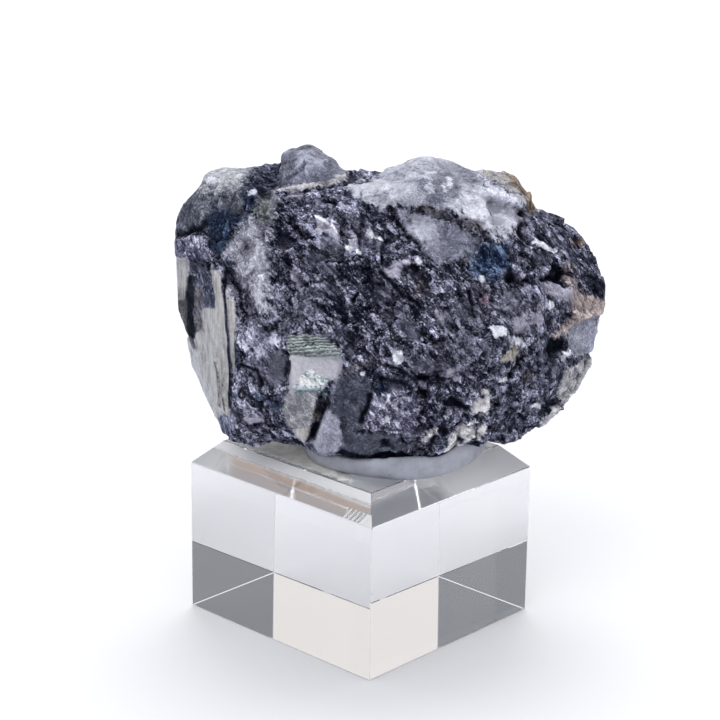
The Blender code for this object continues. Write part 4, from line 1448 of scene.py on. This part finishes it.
ragged = []
for (x0, y0), (x1, y1) in zip(SMEAR, SMEAR[1:] + SMEAR[:1]):
    for step in range(POINTS_A_SIDE):
        x, y = x0 + (x1 - x0) * step / POINTS_A_SIDE, y0 + (y1 - y0) * step / POINTS_A_SIDE
        push = RAGGED * noise.noise(Vector((x, y, 0)) * RAGGED_PER_MM)
        ragged.append(shape.verts.new(((x + push) * MM, (y + push) * MM, BLOCK_TOP - SMEAR_SINK)))
raised = bmesh.ops.extrude_discrete_faces(shape, faces=[shape.faces.new(ragged)])["faces"]
bmesh.ops.translate(shape, vec=(0, 0, SMEAR_THICK), verts=raised[0].verts)
shape.faces.new(ragged)
smear = raised + [face for v in ragged for face in v.link_faces]
for face in smear:
    face.material_index = 1
bmesh.ops.recalc_face_normals(shape, faces=shape.faces)
shape.to_mesh(pad.data)
shape.free()
pad.data.shade_smooth()
print("tack faces:", len(pad.data.polygons))

# %% [markdown]
# The pad is pale putty with blotches and a few dark specks, and painted shade darkens its upper edge under
# the rock. The smear is the same putty, but so thin that light wanders through it, and subsurface scattering
# gives that.

# %% Putty
PAINTED_SHADE_PER_MM = 0.2  # how fast the painted shade comes up with the height above the block
DENTED, DENTED_DEEP = 0.4, 0.3 * MM

putty, paste, clay = new_finish("mineral tack", {"Roughness": 0.45, "Specular IOR Level": 0.4})
pad_mm = in_mm(paste)
blotches = noisy(paste, pad_mm, 0.35, 5.0)
specks = noisy(paste, pad_mm, 2.6, 3.0)
above = minus(paste, parts(paste, pad_mm)[2], BLOCK_TOP / MM)
body = ramp(paste, blotches, (0.30, shown(140, 144, 156)), (0.70, shown(172, 175, 188)))
# painted shade: the pad darkens upwards, where the rock above shades it
painted_shade_under_rock = ramp(paste, times(paste, above, PAINTED_SHADE_PER_MM), (0.45, 0), (0.9, 0.7))
body = mix(paste, painted_shade_under_rock, body, shown(120, 124, 136))
body = mix(paste, ramp(paste, specks, (0.29, 0.8), (0.33, 0)), body, shown(70, 62, 62))
dress(paste, clay, {"Base Color": body, "Normal": bump(paste, specks, DENTED, DENTED_DEEP)})
pad.data.materials.append(putty)
print("putty nodes:", len(paste.nodes))

# %% Wiped tack
WIPED_GLOW = 0.5 * MM  # how far light wanders in the smear, so that it also comes up from the block

wiped, film, thin_clay = new_finish("wiped tack", {
    "Roughness": 0.5, "Subsurface Weight": 1.0, "Subsurface Radius": (1.0, 1.0, 1.0),
    "Subsurface Scale": WIPED_GLOW})
wipes = noisy(film, in_mm(film), 0.7, 6.0, 0.65)
dress(film, thin_clay, {"Base Color": ramp(
    film, wipes, (0.30, shown(196, 194, 186)), (0.55, shown(236, 234, 228)), (0.70, shown(248, 247, 244)))})
pad.data.materials.append(wiped)
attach(pad, "root")
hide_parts("mineral_tack")

# %% [markdown]
# The standard view transform keeps the pale studio as bright as it is lit, where the default one would turn
# its white to grey.

# %% Look
bpy.context.scene.view_settings.view_transform = "Standard"
